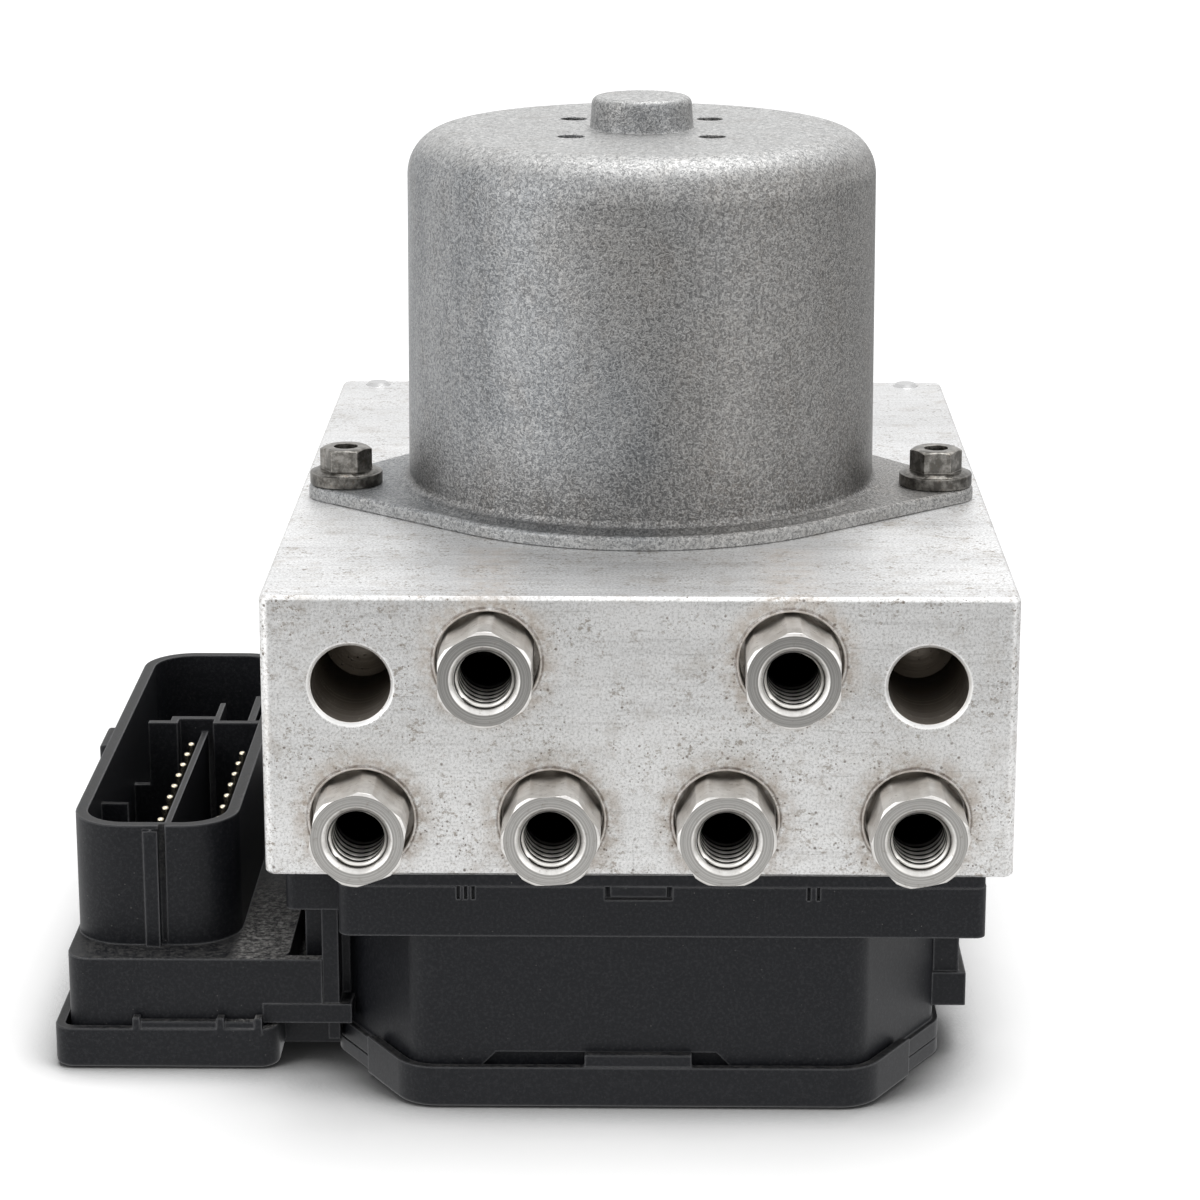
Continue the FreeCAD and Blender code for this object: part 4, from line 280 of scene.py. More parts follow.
def block_finish(ports, bores):
    """Machined aluminium: brushed along its width, specked with brown, soiled round the fittings; painted
    shade on the top, and painted shade and highlights inside the stud bores.
    """
    paint = Paint("machined_aluminium")
    top = paint.facing((0, 0, 1)).ramp(0.5, 0.9)
    brush = paint.noise(0.22, (0.02, 1.0, 1.0), 3.0, 0.6)
    streaks = paint.noise(0.9, (0.035, 1.0, 1.0), 4.0, 0.65, shift=1.0)
    broad = paint.noise(13.0, (0.4, 1.0, 1.0), 4.0, 0.6, shift=2.0)
    scratches = paint.noise(0.30, (0.05, 1.0, 1.0), 1.0, shift=3.0).ramp(0.66, 0.74)
    clusters = paint.noise(8.0, detail=3.0, roughness=0.6, shift=4.0)
    fine = paint.cells(0.75).ramp(0.16, 0.30, 1.0, 0.0) * clusters.ramp(0.42, 0.56)
    coarse = paint.cells(1.9).ramp(0.10, 0.22, 1.0, 0.0) * clusters.ramp(0.36, 0.50)
    specks = fine.most(coarse)
    stains = paint.noise(5.0, detail=5.0, roughness=0.7, shift=5.0).ramp(0.50, 0.72)
    smudge = paint.noise(1.8, detail=4.0, roughness=0.7, shift=6.0).ramp(0.34, 0.62)
    depth = paint.along((0, 1, 0), BLOCK_FACE)
    front = depth.ramp(BORE_END, BORE_END + 1.0, 1.0, 0.0)
    gap = nearest_gap(paint, ports)
    dirt = gap.ramp(0.1, 3.6, 1.0, 0.0) * (smudge * 0.85 + 0.05) * front
    lip = gap.ramp(-0.25, -0.15, 1.0, 0.0) * front
    groove = gap.ramp(-0.25, -0.10) * gap.ramp(0.05, 0.25, 1.0, 0.0) * (smudge * 0.5 + 0.4) * front
    grit = paint.noise(0.40, detail=3.0, roughness=0.8, shift=9.0)
    mottle = paint.noise(0.9, (0.7, 1.0, 1.0), 5.0, 0.8, shift=10.0)
    face = paint.mix(broad.ramp(0.30, 0.70), (0.760, 0.758, 0.750), (0.895, 0.893, 0.885))
    # Painted shade: what faces up gets a darker copy of the face's colour, for the light that the top
    # mirrors.
    top_painted_shade = paint.mix(broad.ramp(0.30, 0.70), (0.700, 0.702, 0.705), (0.840, 0.842, 0.846))
    colour = paint.mix(top, face, top_painted_shade)
    colour = paint.mix(streaks.ramp(0.40, 0.75) * 0.45, colour, (0.92, 0.92, 0.91))
    colour = paint.mix(streaks.ramp(0.25, 0.45, 1.0, 0.0) * (0.35 + top * 0.30), colour, (0.48, 0.47, 0.46))
    colour = paint.mix(grit.ramp(0.36, 0.52, 1.0, 0.0) * 0.60, colour, (0.36, 0.355, 0.345))
    colour = paint.mix(grit.ramp(0.50, 0.62) * 0.50, colour, (1.0, 1.0, 1.0))
    blots = mottle.ramp(0.38, 0.46, 1.0, 0.0) * clusters.ramp(0.40, 0.58)
    colour = paint.mix(blots * 0.75, colour, (0.30, 0.255, 0.21))
    colour = paint.mix(scratches * 0.35, colour, (0.36, 0.35, 0.33))
    colour = paint.mix(stains * 0.35, colour, (0.42, 0.37, 0.31))
    colour = paint.mix(dirt * 0.65, colour, (0.40, 0.32, 0.245))
    colour = paint.mix(specks * 0.75, colour, (0.13, 0.10, 0.075))
    # The top goes darker towards the back.
    colour = paint.mix(top * depth.ramp(60.0, 120.0) * 0.35, colour, (0.50, 0.50, 0.50))
    colour = paint.mix(lip * 0.6, colour, (0.66, 0.62, 0.57))
    colour = paint.mix(groove * 0.8, colour, (0.13, 0.10, 0.08))
    rim = nearest_gap(paint, bores)
    inside = rim.ramp(0.02, 0.12, 1.0, 0.0) * front
    colour = paint.mix(rim.ramp(0.50, 0.62, 1.0, 0.0) * front, colour, (0.97, 0.97, 0.96))
    # Painted shade and highlights inside the stud bores: darker away from the mouth and on the walls that
    # face down, with painted highlights of turned arcs on the lower walls near the mouth.
    arcs = paint.bands(depth, 1.3)
    floor = paint.facing((0, 0, 1)).ramp(-0.3, 0.9)
    near = depth.ramp(1.0, 19.0, 1.0, 0.0)
    wall = paint.mix(near * (floor * 0.7 + 0.3), (0.200, 0.180, 0.155), (0.74, 0.675, 0.605))
    wall = paint.mix(arcs.ramp(0.52, 0.60) * near * floor * 0.7, wall, (0.90, 0.86, 0.80))
    colour = paint.mix(inside * depth.ramp(0.05, 0.7), colour, wall)
    rough = 0.30 + streaks * 0.12 + mottle * 0.10 + dirt * 0.20 + specks * 0.20 + top * 0.10
    relief = paint.bump(brush, 0.010)
    relief = paint.bump(streaks, 0.016, relief)
    relief = paint.bump(1 - specks, 0.05, relief)
    relief = paint.bump(arcs * inside, 0.06, relief)
    relief = paint.bump(paint.noise(1.6, detail=3.0, shift=7.0), 0.014, relief)
    metal = 1.0 - (dirt * 0.4).most(specks * 0.5)
    return paint.finish(Base_Color=colour, Metallic=metal, Roughness=rough, Normal=relief)


def nearest_gap(paint, circles, plane=(1, 0, 1)):
    """Millimetres outwards from the nearest of some circles in a plane, given as (x, y, z, radius)."""
    flat = paint.node("ShaderNodeVectorMath", {"operation": "MULTIPLY"}, {0: paint.place(), 1: plane})
    nearest = None
    for *centre, radius in circles:
        values = {0: flat, 1: tuple(centre)}
        gap = paint.node("ShaderNodeVectorMath", {"operation": "DISTANCE"}, values, "Value") - radius
        nearest = gap if nearest is None else nearest.least(gap)
    return nearest


def can_finish():
    """Zinc-plated deep-drawn steel: mottled grain, bluish and brownish clouds, painted paler on top, with a
    painted paler flange and painted shade at the foot and in the vents.
    """
    paint = Paint("plated_steel_can")
    height = paint.along((0, 0, 1), FLANGE_TOP)
    up = paint.facing((0, 0, 1)).ramp(0.35, 0.95) * height.ramp(20.0, 40.0)
    grain = paint.noise(0.40, detail=3.0, roughness=0.7)
    flakes = paint.cells(0.85)
    clouds = paint.noise(10.0, (1, 1, 0.45), 5.0, 0.6, shift=1.0)
    warm = paint.noise(6.0, (1, 1, 0.6), 5.0, 0.7, shift=2.0).ramp(0.48, 0.70)
    foot = height.ramp(1.0, 14.0, 1.0, 0.0) * height.ramp(0.3, 1.2)
    tint = (paint.noise(24.0, detail=3.0, shift=8.0) + paint.along((1, 0, 0), 0.0) * 0.012).ramp(0.30, 0.75)
    worms = paint.noise(0.55, detail=1.0, shift=9.0)
    pale_lines = (worms - 0.54).size().ramp(0.015, 0.060, 1.0, 0.0)
    dark_lines = (worms - 0.42).size().ramp(0.015, 0.055, 1.0, 0.0)
    clusters = paint.noise(7.0, detail=3.0, shift=5.0).ramp(0.42, 0.62)
    dark = paint.cells(1.3).ramp(0.10, 0.26, 1.0, 0.0) * clusters
    bright = paint.cells(1.05, shift=4.0).ramp(0.10, 0.24, 1.0, 0.0)
    bright = bright * paint.noise(5.0, shift=6.0).ramp(0.45, 0.6)
    side = paint.mix(clouds.ramp(0.35, 0.65), (0.228, 0.240, 0.254), (0.374, 0.382, 0.392))
    side = paint.mix(tint * 0.65, side, (0.300, 0.278, 0.252))
    # Painted light: what faces up gets a paler colour than the sides.
    colour = paint.mix(up, side, (0.60, 0.60, 0.595))
    colour = paint.mix(warm * 0.30, colour, (0.230, 0.200, 0.168))
    # Painted shade: darker towards the foot, where the can meets the flange.
    colour = paint.mix(foot * (warm * 0.3 + 0.65), colour, (0.100, 0.090, 0.080))
    # Painted light: the flange below the can's foot is paler.
    colour = paint.mix(height.ramp(-0.6, -0.1, 1.0, 0.0) * 0.35, colour, (0.62, 0.62, 0.61))
    colour = paint.mix(flakes.ramp(0.2, 0.7) * 0.35, colour, (0.16, 0.165, 0.17))
    colour = paint.mix(grain.ramp(0.50, 0.60) * 0.28, colour, (0.66, 0.66, 0.65))
    colour = paint.mix(grain.ramp(0.38, 0.48, 1.0, 0.0) * 0.42, colour, (0.085, 0.086, 0.088))
    colour = paint.mix(dark_lines * 0.38, colour, (0.080, 0.080, 0.080))
    colour = paint.mix(pale_lines * 0.22, colour, (0.78, 0.77, 0.75))
    colour = paint.mix(dark * 0.55, colour, (0.08, 0.078, 0.075))
    colour = paint.mix(bright * 0.45, colour, (0.85, 0.84, 0.82))
    vents = [(x, y, 0.0, VENT_RADIUS) for x in (-VENT_X, VENT_X) for y in (-VENT_Y, VENT_Y)]
    # Painted shade: the walls of the vent holes are painted nearly black.
    vent_shade = nearest_gap(paint, vents, (1, 1, 0)).ramp(-0.12, 0.0, 1.0, 0.0)
    colour = paint.mix(vent_shade * height.ramp(50.0, 52.0), colour, (0.020, 0.018, 0.016))
    rough = 0.29 + clouds * 0.08 + grain * 0.12 + paint.facing((0, 0, 1)).ramp(0.2, 0.6) * 0.12
    relief = paint.bump(grain, 0.016)
    relief = paint.bump(pale_lines - dark_lines, 0.018, relief)
    relief = paint.bump(flakes, 0.016, relief)
    relief = paint.bump(clouds, 0.05, relief)
    return paint.finish(Base_Color=colour, Metallic=0.95, Roughness=rough, Normal=relief)


def fitting_finish(ports):
    """Turned and plated steel: fine rings on the face, painted shade underneath and where it enters the
    block, and a bore painted dark with painted highlights on the thread flanks.
    """
    paint = Paint("nickel_plated_steel")
    from_axis = nearest_gap(paint, [(x, 0.0, z, 0.0) for x, z, _ in ports])
    depth = paint.along((0, 1, 0), ports[0][2])
    rings = paint.bands(from_axis, 5.0)
    clouds = paint.noise(2.6, detail=4.0, roughness=0.65)
    spots = paint.noise(1.1, detail=5.0, roughness=0.7, shift=4.0).ramp(0.54, 0.72)
    low = paint.facing((0, 0, -1)).ramp(0.0, 0.9)
    end = paint.facing((0, -1, 0)).ramp(0.9, 0.98)
    colour = paint.mix(clouds.ramp(0.35, 0.7), (0.680, 0.662, 0.635), (0.900, 0.885, 0.860))
    colour = paint.mix(end, colour, (0.375, 0.365, 0.348))
    colour = paint.mix(rings.ramp(0.40, 0.65) * 0.30, colour, (0.90, 0.89, 0.87))
    colour = paint.mix(spots * 0.55, colour, (0.22, 0.185, 0.15))
    # Painted shade: what faces down is darker.
    colour = paint.mix(low * 0.25, colour, (0.24, 0.21, 0.18))
    # Painted shade where the fitting goes into the block's counterbore, varied by clouds.
    seated_shade = depth.ramp(8.0, 9.8) * (clouds.ramp(0.3, 0.6) * 0.4 + 0.2)
    colour = paint.mix(seated_shade, colour, (0.20, 0.165, 0.13))
    inside = from_axis.ramp(*FITTING_BORE, 1.0, 0.0)
    # Painted light in the bore: the thread flanks that face the mouth get a painted highlight, and the bore
    # is painted dark, darker still further in.
    flank_highlight = paint.facing((0, -1, 0)).ramp(0.25, 0.60) * depth.ramp(0.9, 1.5)
    bore = paint.mix(flank_highlight * depth.ramp(7.0, 12.5, 1.0, 0.10), (0.040, 0.037, 0.033), (0.95, 0.93, 0.89))
    bore = paint.mix(depth.ramp(9.0, 13.0), bore, (0.006, 0.0055, 0.005))
    colour = paint.mix(inside * depth.ramp(0.7, 0.9), colour, bore)
    rough = 0.24 + clouds * 0.12 + spots * 0.2
    relief = paint.bump(rings, 0.010)
    relief = paint.bump(clouds, 0.012, relief)
    return paint.finish(Base_Color=colour, Metallic=1.0, Roughness=rough, Normal=relief)


def screw_finish():
    """Dark warm plating worn bright in places; the head above the washer takes a lighter copy and the washer
    a darker one, as painted light and shade.
    """
    paint = Paint("dark_plated_screw")
    wear = paint.noise(1.4, detail=5.0, roughness=0.7).ramp(0.40, 0.66)
    crown = paint.along((0, 0, 1), WASHER_TOP).ramp(0.0, 1.2)
    rust = paint.noise(0.8, detail=4.0, roughness=0.7, shift=3.0).ramp(0.52, 0.70)
    # Painted light and shade: the head above the washer is the lighter copy, the washer below it the darker
    # one.
    dark = paint.mix(wear, (0.085, 0.080, 0.073), (0.250, 0.240, 0.222))
    light = paint.mix(wear, (0.150, 0.143, 0.130), (0.400, 0.385, 0.360))
    colour = paint.mix(crown, dark, light)
    colour = paint.mix(rust * 0.35, colour, (0.16, 0.11, 0.07))
    rough = 0.30 + wear * 0.12
    relief = paint.bump(paint.noise(0.4, detail=3.0), 0.015)
    return paint.finish(Base_Color=colour, Metallic=1.0, Roughness=rough, Normal=relief)


def steel_finish(name, colour, roughness):
    """Bright machined steel of the inner pieces and plugs."""
    paint = Paint(name)
    marks = paint.noise(0.6, (0.2, 1.0, 1.0), 3.0, 0.6)
    darker = tuple(0.8 * channel for channel in colour)
    shade = paint.mix(marks, darker, colour)
    relief = paint.bump(marks, 0.008)
    return paint.finish(Base_Color=shade, Metallic=1.0, Roughness=roughness + marks * 0.12, Normal=relief)


def housing_finish():
    """Satin black glass-filled plastic, with fine pale specks and dust on what faces up, and a painted
    highlight along its edges that is partly edge wear.
    """
    paint = Paint("black_moulded_plastic")
    grain = paint.noise(0.28, detail=2.0, roughness=0.6)
    orange = paint.noise(2.4, detail=3.0)
    clusters = paint.noise(10.0, detail=3.0, shift=1.0).ramp(0.40, 0.60)
    specks = paint.cells(1.15).ramp(0.05, 0.13, 1.0, 0.0) * clusters
    grit = paint.cells(0.55, shift=5.0).ramp(0.08, 0.20, 1.0, 0.0)
    grit = grit * paint.noise(6.0, shift=2.0).ramp(0.50, 0.66)
    up = paint.facing((0, 0, 1)).ramp(0.6, 0.95)
    dust = paint.noise(0.8, detail=5.0, roughness=0.85, shift=7.0).ramp(0.42, 0.62) * up
    haze = paint.noise(0.5, detail=4.0, roughness=0.8, shift=9.0).ramp(0.45, 0.65)
    scuffs = paint.noise(1.4, (1.0, 1.0, 0.25), 5.0, 0.75, shift=8.0).ramp(0.60, 0.74)
    # Painted highlight along the edges, where a bevel shader finds them, partly edge wear.
    rounded = paint.node("ShaderNodeBevel", {"samples": 4}, {"Radius": 0.45 * MM})
    flat = paint.node("ShaderNodeNewGeometry", output="Normal")
    worn = paint.share(rounded, flat).ramp(0.90, 0.995, 1.0, 0.0)
    base = paint.mix(orange, (0.0060, 0.0066, 0.0088), (0.0092, 0.0100, 0.0128))
    from_left = paint.along((1, 0, 0), LEDGE_LEFT).ramp(0.0, 2.0)
    from_right = paint.along((-1, 0, 0), -LEDGE_RIGHT).ramp(0.0, 2.0)
    ledge = up * (from_left * from_right) * paint.along((0, -1, 0), -LEDGE_BACK).ramp(0.0, LEDGE_LENGTH)
    ledge_dust = paint.noise(0.9, detail=5.0, roughness=0.9, shift=10.0).ramp(0.44, 0.60)
    colour = paint.mix(haze * 0.42, base, (0.045, 0.046, 0.050))
    colour = paint.mix(ledge * ledge_dust, colour, (0.400, 0.390, 0.375))
    colour = paint.mix(scuffs * 0.20, colour, (0.075, 0.074, 0.073))
    colour = paint.mix(dust * 0.60, colour, (0.120, 0.117, 0.112))
    # Painted highlight along the edges, partly edge wear.
    colour = paint.mix(worn * 0.60, colour, (0.230, 0.232, 0.240))
    colour = paint.mix(grit * 0.50, colour, (0.13, 0.125, 0.12))
    colour = paint.mix(specks * 0.70, colour, (0.34, 0.33, 0.31))
    rough = 0.40 + grain * 0.10 + dust * 0.30 + ledge * 0.3 + scuffs * 0.10
    relief = paint.bump(grain, 0.016)
    relief = paint.bump(orange, 0.024, relief)
    return paint.finish(Base_Color=colour, Roughness=rough, Normal=relief, Specular_IOR_Level=0.25)


def brass_finish():
    """Tinned brass of the contact pins, bright at the tips, with painted shade down the stems."""
    paint = Paint("tinned_brass")
    clouds = paint.noise(0.8, detail=3.0)
    colour = paint.mix(clouds, (0.66, 0.57, 0.40), (0.92, 0.86, 0.72))
    # Painted shade: the stems darken below the tips.
    below = paint.along((0, 0, -1), -PIN_TIP)
    colour = paint.mix(below.ramp(0.8, 3.2), colour, (0.110, 0.092, 0.062))
    relief = paint.bump(clouds, 0.006)
    return paint.finish(Base_Color=colour, Metallic=1.0, Roughness=0.20 + clouds * 0.1, Normal=relief)


def plain_finish(name, dark, light, roughness, metallic=0.0, grain=0.8):
    """A moulded, sintered or wound surface with a fine mottle."""
    paint = Paint(name)
    mottle = paint.noise(grain, detail=3.0)
    colour = paint.mix(mottle, dark, light)
    relief = paint.bump(mottle, 0.015)
    rough = roughness + mottle * 0.1
    return paint.finish(Base_Color=colour, Metallic=metallic, Roughness=rough, Normal=relief)


# Meshes

def ready(mesh, sharp_above):
    """Smooth shading that breaks at edges sharper than the given angle in degrees."""
    for polygon in mesh.polygons:
        polygon.use_smooth = True
    mesh.set_sharp_from_angle(angle=math.radians(sharp_above))


def placed(name, data):
    """A new object in the scene."""
    thing = bpy.data.objects.new(name, data)
    bpy.context.scene.collection.objects.link(thing)
    return thing


def keep_flat(piece, weight):
    """Large faces stay flat in the shading, and only the small ones beside them turn."""
    weighted = piece.modifiers.new("flat_faces", "WEIGHTED_NORMAL")
    weighted.keep_sharp = True
    weighted.weight = weight


def gap_to(point, edge):
    """Distance from a point to an edge."""
    a, b = edge.verts[0].co, edge.verts[1].co
    nearest, share = intersect_point_line(point, a, b)
    if share < 0:
        nearest = a
    if share > 1:
        nearest = b
    return (nearest - point).length


def is_disc(face):
    """A face whose corners all lie on one circle, as a round pin's tip has."""
    centre = face.calc_center_median()
    reach = [(vertex.co - centre).length for vertex in face.verts]
    return len(reach) >= 8 and max(reach) < min(reach) * DISC_WITHIN


def room_beside(edge, face):
    """Widest easing of an edge that leaves something of one of its faces."""
    if is_disc(face):
        return gap_to(face.calc_center_median(), edge) * 2 * ROOM_SHARE
    middle = (edge.verts[0].co + edge.verts[1].co) / 2
    along = (edge.verts[1].co - edge.verts[0].co).normalized()
    room = math.inf
    for other in face.edges:
        if other is edge:
            continue
        a, b = other.verts
        if a in edge.verts or b in edge.verts:
            if abs(along.dot((b.co - a.co).normalized())) < STRAIGHT_ON:
                room = min(room, (b.co - a.co).length)
            continue
        room = min(room, gap_to(middle, other), gap_to(a.co, edge), gap_to(b.co, edge))
    return room * ROOM_SHARE


def easing_widths(form, sharp, ease, shortest):
    """A width for each sharp edge, the same along each run of edges that carry on; none for short runs."""
    widths = {edge: min([ease] + [room_beside(edge, face) for face in edge.link_faces]) for edge in sharp}
    left = set(sharp)
    while left:
        run = [left.pop()]
        for edge in run:
            along = (edge.verts[1].co - edge.verts[0].co).normalized()
            for vertex in edge.verts:
                for other in vertex.link_edges:
                    way = (other.verts[1].co - other.verts[0].co).normalized()
                    if other in left and abs(along.dot(way)) >= STRAIGHT_ON:
                        left.remove(other)
                        run.append(other)
        length = sum(edge.calc_length() for edge in run)
        width = min(widths[edge] for edge in run) if length > shortest else 0.0
        for edge in run:
            widths[edge] = width
    return widths


def dressed(node, material, ease, steps=2, sharp_above=32, shortest=0.0):
    """The node's own form with its sharp edges eased by a small radius in millimetres."""
    source = frame["nodes"][node]
    form = bmesh.new()
    form.from_mesh(source.data)
    weight = form.edges.layers.float.new("bevel_weight_edge")
    bmesh.ops.remove_doubles(form, verts=form.verts, dist=WELD_DISTANCE * MM)
    bmesh.ops.dissolve_limit(
        form, angle_limit=math.radians(FLAT_WITHIN), verts=form.verts, edges=form.edges, delimit={"NORMAL"}
    )
    sharp = [
        edge for edge in form.edges
        if len(edge.link_faces) == 2 and edge.calc_face_angle(0) > math.radians(sharp_above)
    ]
    for edge, width in easing_widths(form, sharp, ease * MM, shortest * MM).items():
        edge[weight] = width / (ease * MM)
    mesh = bpy.data.meshes.new(f"{node}_form")
    form.to_mesh(mesh)
    form.free()
    piece = placed(f"{node}_dressed", mesh)
    mesh.materials.append(material)
    for polygon in mesh.polygons:
        polygon.use_smooth = True
    eased = piece.modifiers.new("eased_edges", "BEVEL")
    eased.limit_method = "WEIGHT"
    eased.offset_type = "OFFSET"
    eased.width = ease * MM
    eased.segments = steps
    eased.use_clamp_overlap = False
    eased.loop_slide = False
    shaped = bpy.data.meshes.new_from_object(piece.evaluated_get(bpy.context.evaluated_depsgraph_get()))
    piece.modifiers.clear()
    piece.data = shaped
    ready(shaped, SHARP_LEFT)
    keep_flat(piece, 100)
    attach(piece, source["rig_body"])
    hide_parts(node)
    return piece


def sprung(node, material):
    """A spring along x: a copy of its node's form with the given material, in place of the node, which is
    hidden.
    """
    source = frame["nodes"][node]
    piece = placed(f"{node}_coil", source.data.copy())
    piece.data.materials.clear()
    piece.data.materials.append(material)
    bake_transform(piece)
    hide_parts(node)


def pipe_thread(name, material, centre, mouth, length, wall_radius, pitch, depth, around=72, along=10):
    """Thread inside a fitting: a thin sleeve whose inner wall is the thread's helix."""
    rows = int(length / pitch * along)
    mesh = bpy.data.meshes.new(name)
    points = []
    faces = []
    for row in range(rows + 1):
        back = length * row / rows
        fade = min(1.0, back / (0.5 * pitch), (length - back) / pitch)
        for step in range(around):
            turn = step / around
            phase = (back / pitch + turn) % 1.0
            crest = min(1.0, max(0.0, THREAD_STEEPNESS * (0.5 - abs(phase - 0.5))))
            radius = wall_radius - THREAD_CLEAR - depth * crest * fade
            angle = 2 * math.pi * turn
            points.append((
                (centre[0] + radius * math.cos(angle)) * MM,
                (mouth + back) * MM,
                (centre[1] + radius * math.sin(angle)) * MM,
            ))
    for row in range(rows):
        for step in range(around):
            a = row * around + step
            b = row * around + (step + 1) % around
            faces.append((a, b, b + around, a + around))
    outer = len(points)
    for end in (0, rows):
        for step in range(around):
            angle = 2 * math.pi * step / around
            points.append((
                (centre[0] + wall_radius * math.cos(angle)) * MM,
                (mouth + length * end / rows) * MM,
                (centre[1] + wall_radius * math.sin(angle)) * MM,
            ))
    for step in range(around):
        ahead = (step + 1) % around
        near, far = outer, outer + around
        faces.append((near + step, far + step, far + ahead, near + ahead))
        faces.append((step, near + step, near + ahead, ahead))
        last = rows * around
        faces.append((last + step, last + ahead, far + ahead, far + step))
    mesh.from_pydata(points, [], faces)
    mesh.update()
    mesh.materials.append(material)
    ready(mesh, 60)
    thread = placed(name, mesh)
    keep_flat(thread, 80)
    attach(thread, "module")
    return thread


# Scene

def studio():
    """Pale floor, white surroundings and soft lamps."""
    floor_mesh = bpy.data.meshes.new("floor")
    corners = [(-1, -1), (1, -1), (1, 1), (-1, 1)]
    points = [(FLOOR_REACH * x, FLOOR_REACH * y, -FLOOR_DROP * MM) for x, y in corners]
    floor_mesh.from_pydata(points, [], [(0, 1, 2, 3)])
    floor = placed("floor", floor_mesh)
    floor_mesh.materials.append(floor_paper())
    surroundings()
    sun("overhead", (0.15, 0.25, 1.0), 35.0, 1.25)
    lamp("left_softbox", (-1.10, -0.80, 0.70), 1.0, 1.2, 4.0)
    lamp("right_softbox", (1.10, -0.85, 0.65), 1.0, 1.2, 2.0)


def floor_paper():
    """White paper that keeps the object's shadow and adds a painted contact shadow near it; metal mirrors it
    with a light band at each side.
    """
    paint = Paint("white_paper")
    where = paint.node("ShaderNodeTexCoord", output="Object")
    far_off = paint.node("ShaderNodeVectorMath", {"operation": "LENGTH"}, {0: where}, "Value")
    ahead = paint.share(where, (0, -1, 0))
    aside = paint.share(where, (1, 0, 0))
    turn = paint.node("ShaderNodeMath", {"operation": "ARCTAN2"}, {0: aside, 1: ahead})
    far = FAR_LEVEL
    for low, middle, high, strength, beyond in LIGHT_BANDS:
        rise = turn.ramp(math.radians(low), math.radians(middle), 0.0, strength)
        fall = turn.ramp(math.radians(middle), math.radians(high), 0.0, strength - beyond)
        far = far + rise - fall
    shown = far_off.ramp(*FAR_DISTANCES) * (far - NEAR_LEVEL) + NEAR_LEVEL
    seen = paint.node("ShaderNodeLightPath", output="Is Camera Ray")
    mirrored = paint.node("ShaderNodeLightPath", output="Is Glossy Ray")
    # Painted shadow: near the object, ambient occlusion darkens the paper's colour and takes away its glow.
    touch = paint.node("ShaderNodeAmbientOcclusion", {"samples": 4}, {"Distance": CONTACT_REACH}, "AO")
    shade = paint.mix(touch.ramp(0.50, 0.95), CONTACT_SHADE, FLOOR_COLOUR)
    open_air = paint.node("ShaderNodeAmbientOcclusion", {"samples": 4}, {"Distance": SHADOW_REACH}, "AO")
    near = glowing_paper(paint, shade, open_air.ramp(*FLOOR_OPEN) * FLOOR_GLOW, seen)
    bare = glowing_paper(paint, FLOOR_COLOUR, FLOOR_GLOW, seen)
    clear = paint.node("ShaderNodeMath", {"operation": "GREATER_THAN"}, {0: far_off, 1: FLOOR_CLEAR})
    paper = paint.node("ShaderNodeMixShader", None, {0: clear, 1: near, 2: bare})
    picture = paint.node("ShaderNodeEmission", None, {"Color": WHITE, "Strength": shown})
    both = paint.node("ShaderNodeMixShader", None, {0: mirrored, 1: paper, 2: picture})
    return paint.close("ShaderNodeOutputMaterial", both)


def glowing_paper(paint, colour, glow, seen):
    """Matt paper that glows a little, only where the camera sees it, so that it photographs white."""
    matt = paint.node("ShaderNodeBsdfDiffuse", None, {"Color": colour})
    light = paint.node("ShaderNodeEmission", None, {"Color": WHITE, "Strength": glow})
    lit = paint.node("ShaderNodeAddShader", None, {0: matt, 1: light})
    return paint.node("ShaderNodeMixShader", None, {0: seen, 1: matt, 2: lit})


def surroundings():
    """White wherever it is seen or mirrored, and dimmer as a light."""
    paint = Paint("surroundings", bpy.data.worlds.new("surroundings"))
    level = paint.node("ShaderNodeLightPath", output="Is Camera Ray").most(WORLD_LIGHT)
    for ray in ("Is Glossy Ray", "Is Transmission Ray"):
        level = level.most(paint.node("ShaderNodeLightPath", output=ray))
    sky = paint.node("ShaderNodeBackground", None, {"Color": WHITE, "Strength": level})
    bpy.context.scene.world = paint.close("ShaderNodeOutputWorld", sky)


def sun(name, direction, softness, strength):
    """Light from afar, the same strength all over; softness in degrees."""
    light = bpy.data.lights.new(name, "SUN")
    light.energy = strength
    light.angle = math.radians(softness)
    holder = placed(name, light)
    holder.rotation_euler = Vector(direction).to_track_quat("Z", "Y").to_euler()


def lamp(name, place, width, height, power):
    """A soft rectangle of light that points at the middle of the object."""
    light = bpy.data.lights.new(name, "AREA")
    light.shape = "RECTANGLE"
    light.size = width
    light.size_y = height
    light.energy = power
    holder = placed(name, light)
    holder.location = place
    aim = Vector(LAMPS_AIM) - Vector(place)
    holder.rotation_euler = aim.to_track_quat("-Z", "Y").to_euler()


def camera():
    """The pinhole camera that was fitted to the photograph."""
    lens = bpy.data.cameras.new("camera")
    lens.sensor_width = SENSOR
    lens.lens = FOCAL_PIXELS / FRAME_PIXELS * SENSOR
    lens.clip_start = 0.01
    lens.clip_end = 50.0
    holder = placed("camera", lens)
    holder.location = CAMERA_PLACE
    holder.rotation_euler = (math.pi / 2 - CAMERA_PITCH, 0, CAMERA_YAW)
    bpy.context.scene.camera = holder


def mount_place(name):
    """(x, z) of a mount of the record, in millimetres."""
    place = next(mount["pos_m"] for mount in frame["record"]["mounts"] if mount["name"] == name)
    return place[0] / MM, place[2] / MM


def port_centres():
    """(x, z) of each pipe fitting and the y of its tip, in millimetres."""
    tips = [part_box(f"port_fitting_{index}")[0].y / MM for index in range(1, 7)]
    return [(*mount_place(f"pipe_port_{index}"), tip) for index, tip in enumerate(tips, start=1)]


def mount_bores():
    """The two stud bores of the front face, as circles for nearest_gap."""
    places = [mount_place(f"mount_bore_{side}") for side in ("left", "right")]
    return [(x, 0.0, z, BORE_RADIUS) for x, z in places]


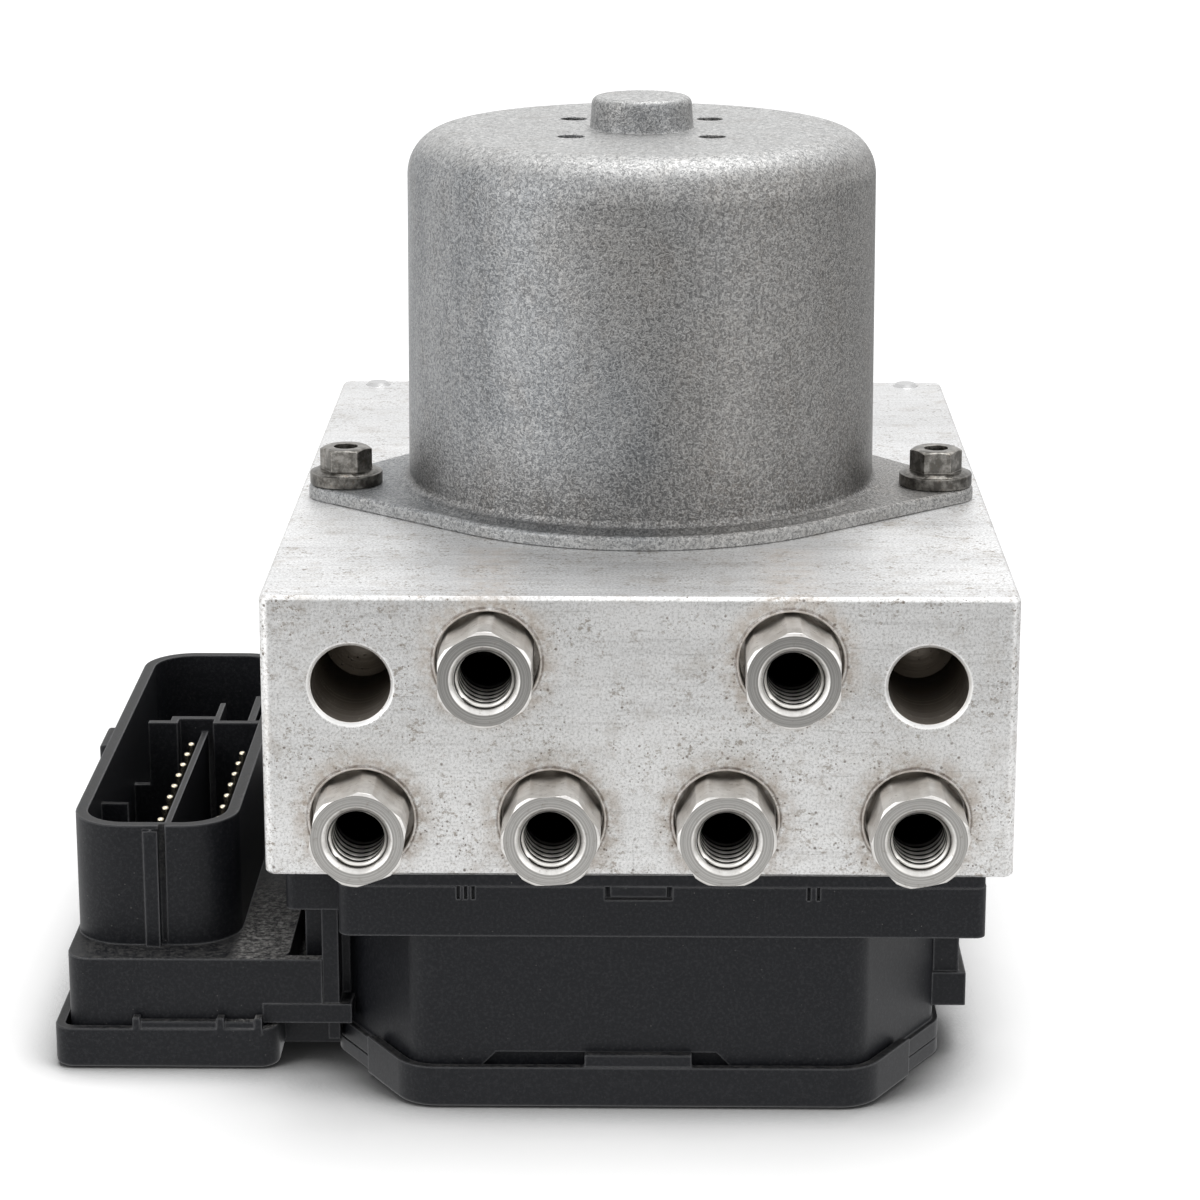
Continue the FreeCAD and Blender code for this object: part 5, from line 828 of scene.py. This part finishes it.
def paint_nodes():
    """Every carried-over node gets the finish of its slot."""
    lips = [(x, 0.0, z, LIP_RADIUS) for x, z, _ in port_centres()]
    finishes = {
        "bright_steel": steel_finish("ground_steel", (0.66, 0.66, 0.66), 0.22),
        "plug_steel": steel_finish("turned_plug_steel", (0.52, 0.52, 0.51), 0.30),
        "spring_steel": steel_finish("drawn_spring_wire", (0.42, 0.42, 0.43), 0.28),
        "accumulator_alloy": steel_finish("anodised_alloy", (0.60, 0.60, 0.62), 0.38),
        "valve_steel": steel_finish("turned_valve_steel", (0.58, 0.58, 0.58), 0.26),
        "gasket_rubber": plain_finish("gasket_rubber", (0.05, 0.05, 0.05), (0.09, 0.09, 0.09), 0.75),
        "board_laminate": plain_finish("board_laminate", (0.02, 0.14, 0.06), (0.04, 0.20, 0.09), 0.45),
        "coil_plastic": plain_finish("coil_plastic", (0.05, 0.05, 0.05), (0.09, 0.09, 0.09), 0.5),
        "copper": plain_finish("enamelled_copper", (0.42, 0.17, 0.08), (0.62, 0.29, 0.15), 0.32, 1.0, 0.4),
        "core_iron": plain_finish("laminated_iron", (0.22, 0.22, 0.22), (0.34, 0.34, 0.34), 0.45, 1.0, 0.3),
        "ferrite": plain_finish("ferrite", (0.05, 0.05, 0.055), (0.09, 0.09, 0.095), 0.6),
        "carbon": plain_finish("carbon_brush", (0.03, 0.03, 0.03), (0.06, 0.06, 0.06), 0.55),
        "screw_steel": screw_finish(),
        "contact_brass": brass_finish(),
        "housing_plastic": housing_finish(),
        "can_steel": can_finish(),
        "fitting_nickel": fitting_finish(port_centres()),
        "block_aluminium": block_finish(lips, mount_bores()),
    }
    for row in frame["record"]["subparts"]:
        node = frame["nodes"][row["node"]]
        node.data.materials.clear()
        node.data.materials.append(finishes[row["material_slot"]])
    return finishes


studio()
camera()
finishes = paint_nodes()
dressed("valve_block", finishes["block_aluminium"], 0.18)
dressed("motor_can", finishes["can_steel"], 0.25, sharp_above=50, shortest=1.4)
dressed("motor_screws", finishes["screw_steel"], 0.20)
dressed("ecu_housing", finishes["housing_plastic"], 0.15, shortest=1.3)
dressed("ecu_cover", finishes["housing_plastic"], 0.22, sharp_above=50)
dressed("connector_pins", finishes["contact_brass"], 0.45, 4)
for kind in ("pump", "accumulator", "brush"):
    for side in ("left", "right"):
        sprung(f"{kind}_spring_{side}", finishes["spring_steel"])
for index, (x, z, tip) in enumerate(port_centres(), start=1):
    dressed(f"port_fitting_{index}", finishes["fitting_nickel"], 0.08, sharp_above=22)
    thread = pipe_thread(
        f"pipe_thread_{index}", finishes["fitting_nickel"], (x, z), tip + THREAD_START,
        THREAD_LENGTH, THREAD_WALL, THREAD_PITCH, THREAD_DEPTH,
    )

bpy.context.scene.view_settings.view_transform = "Standard"
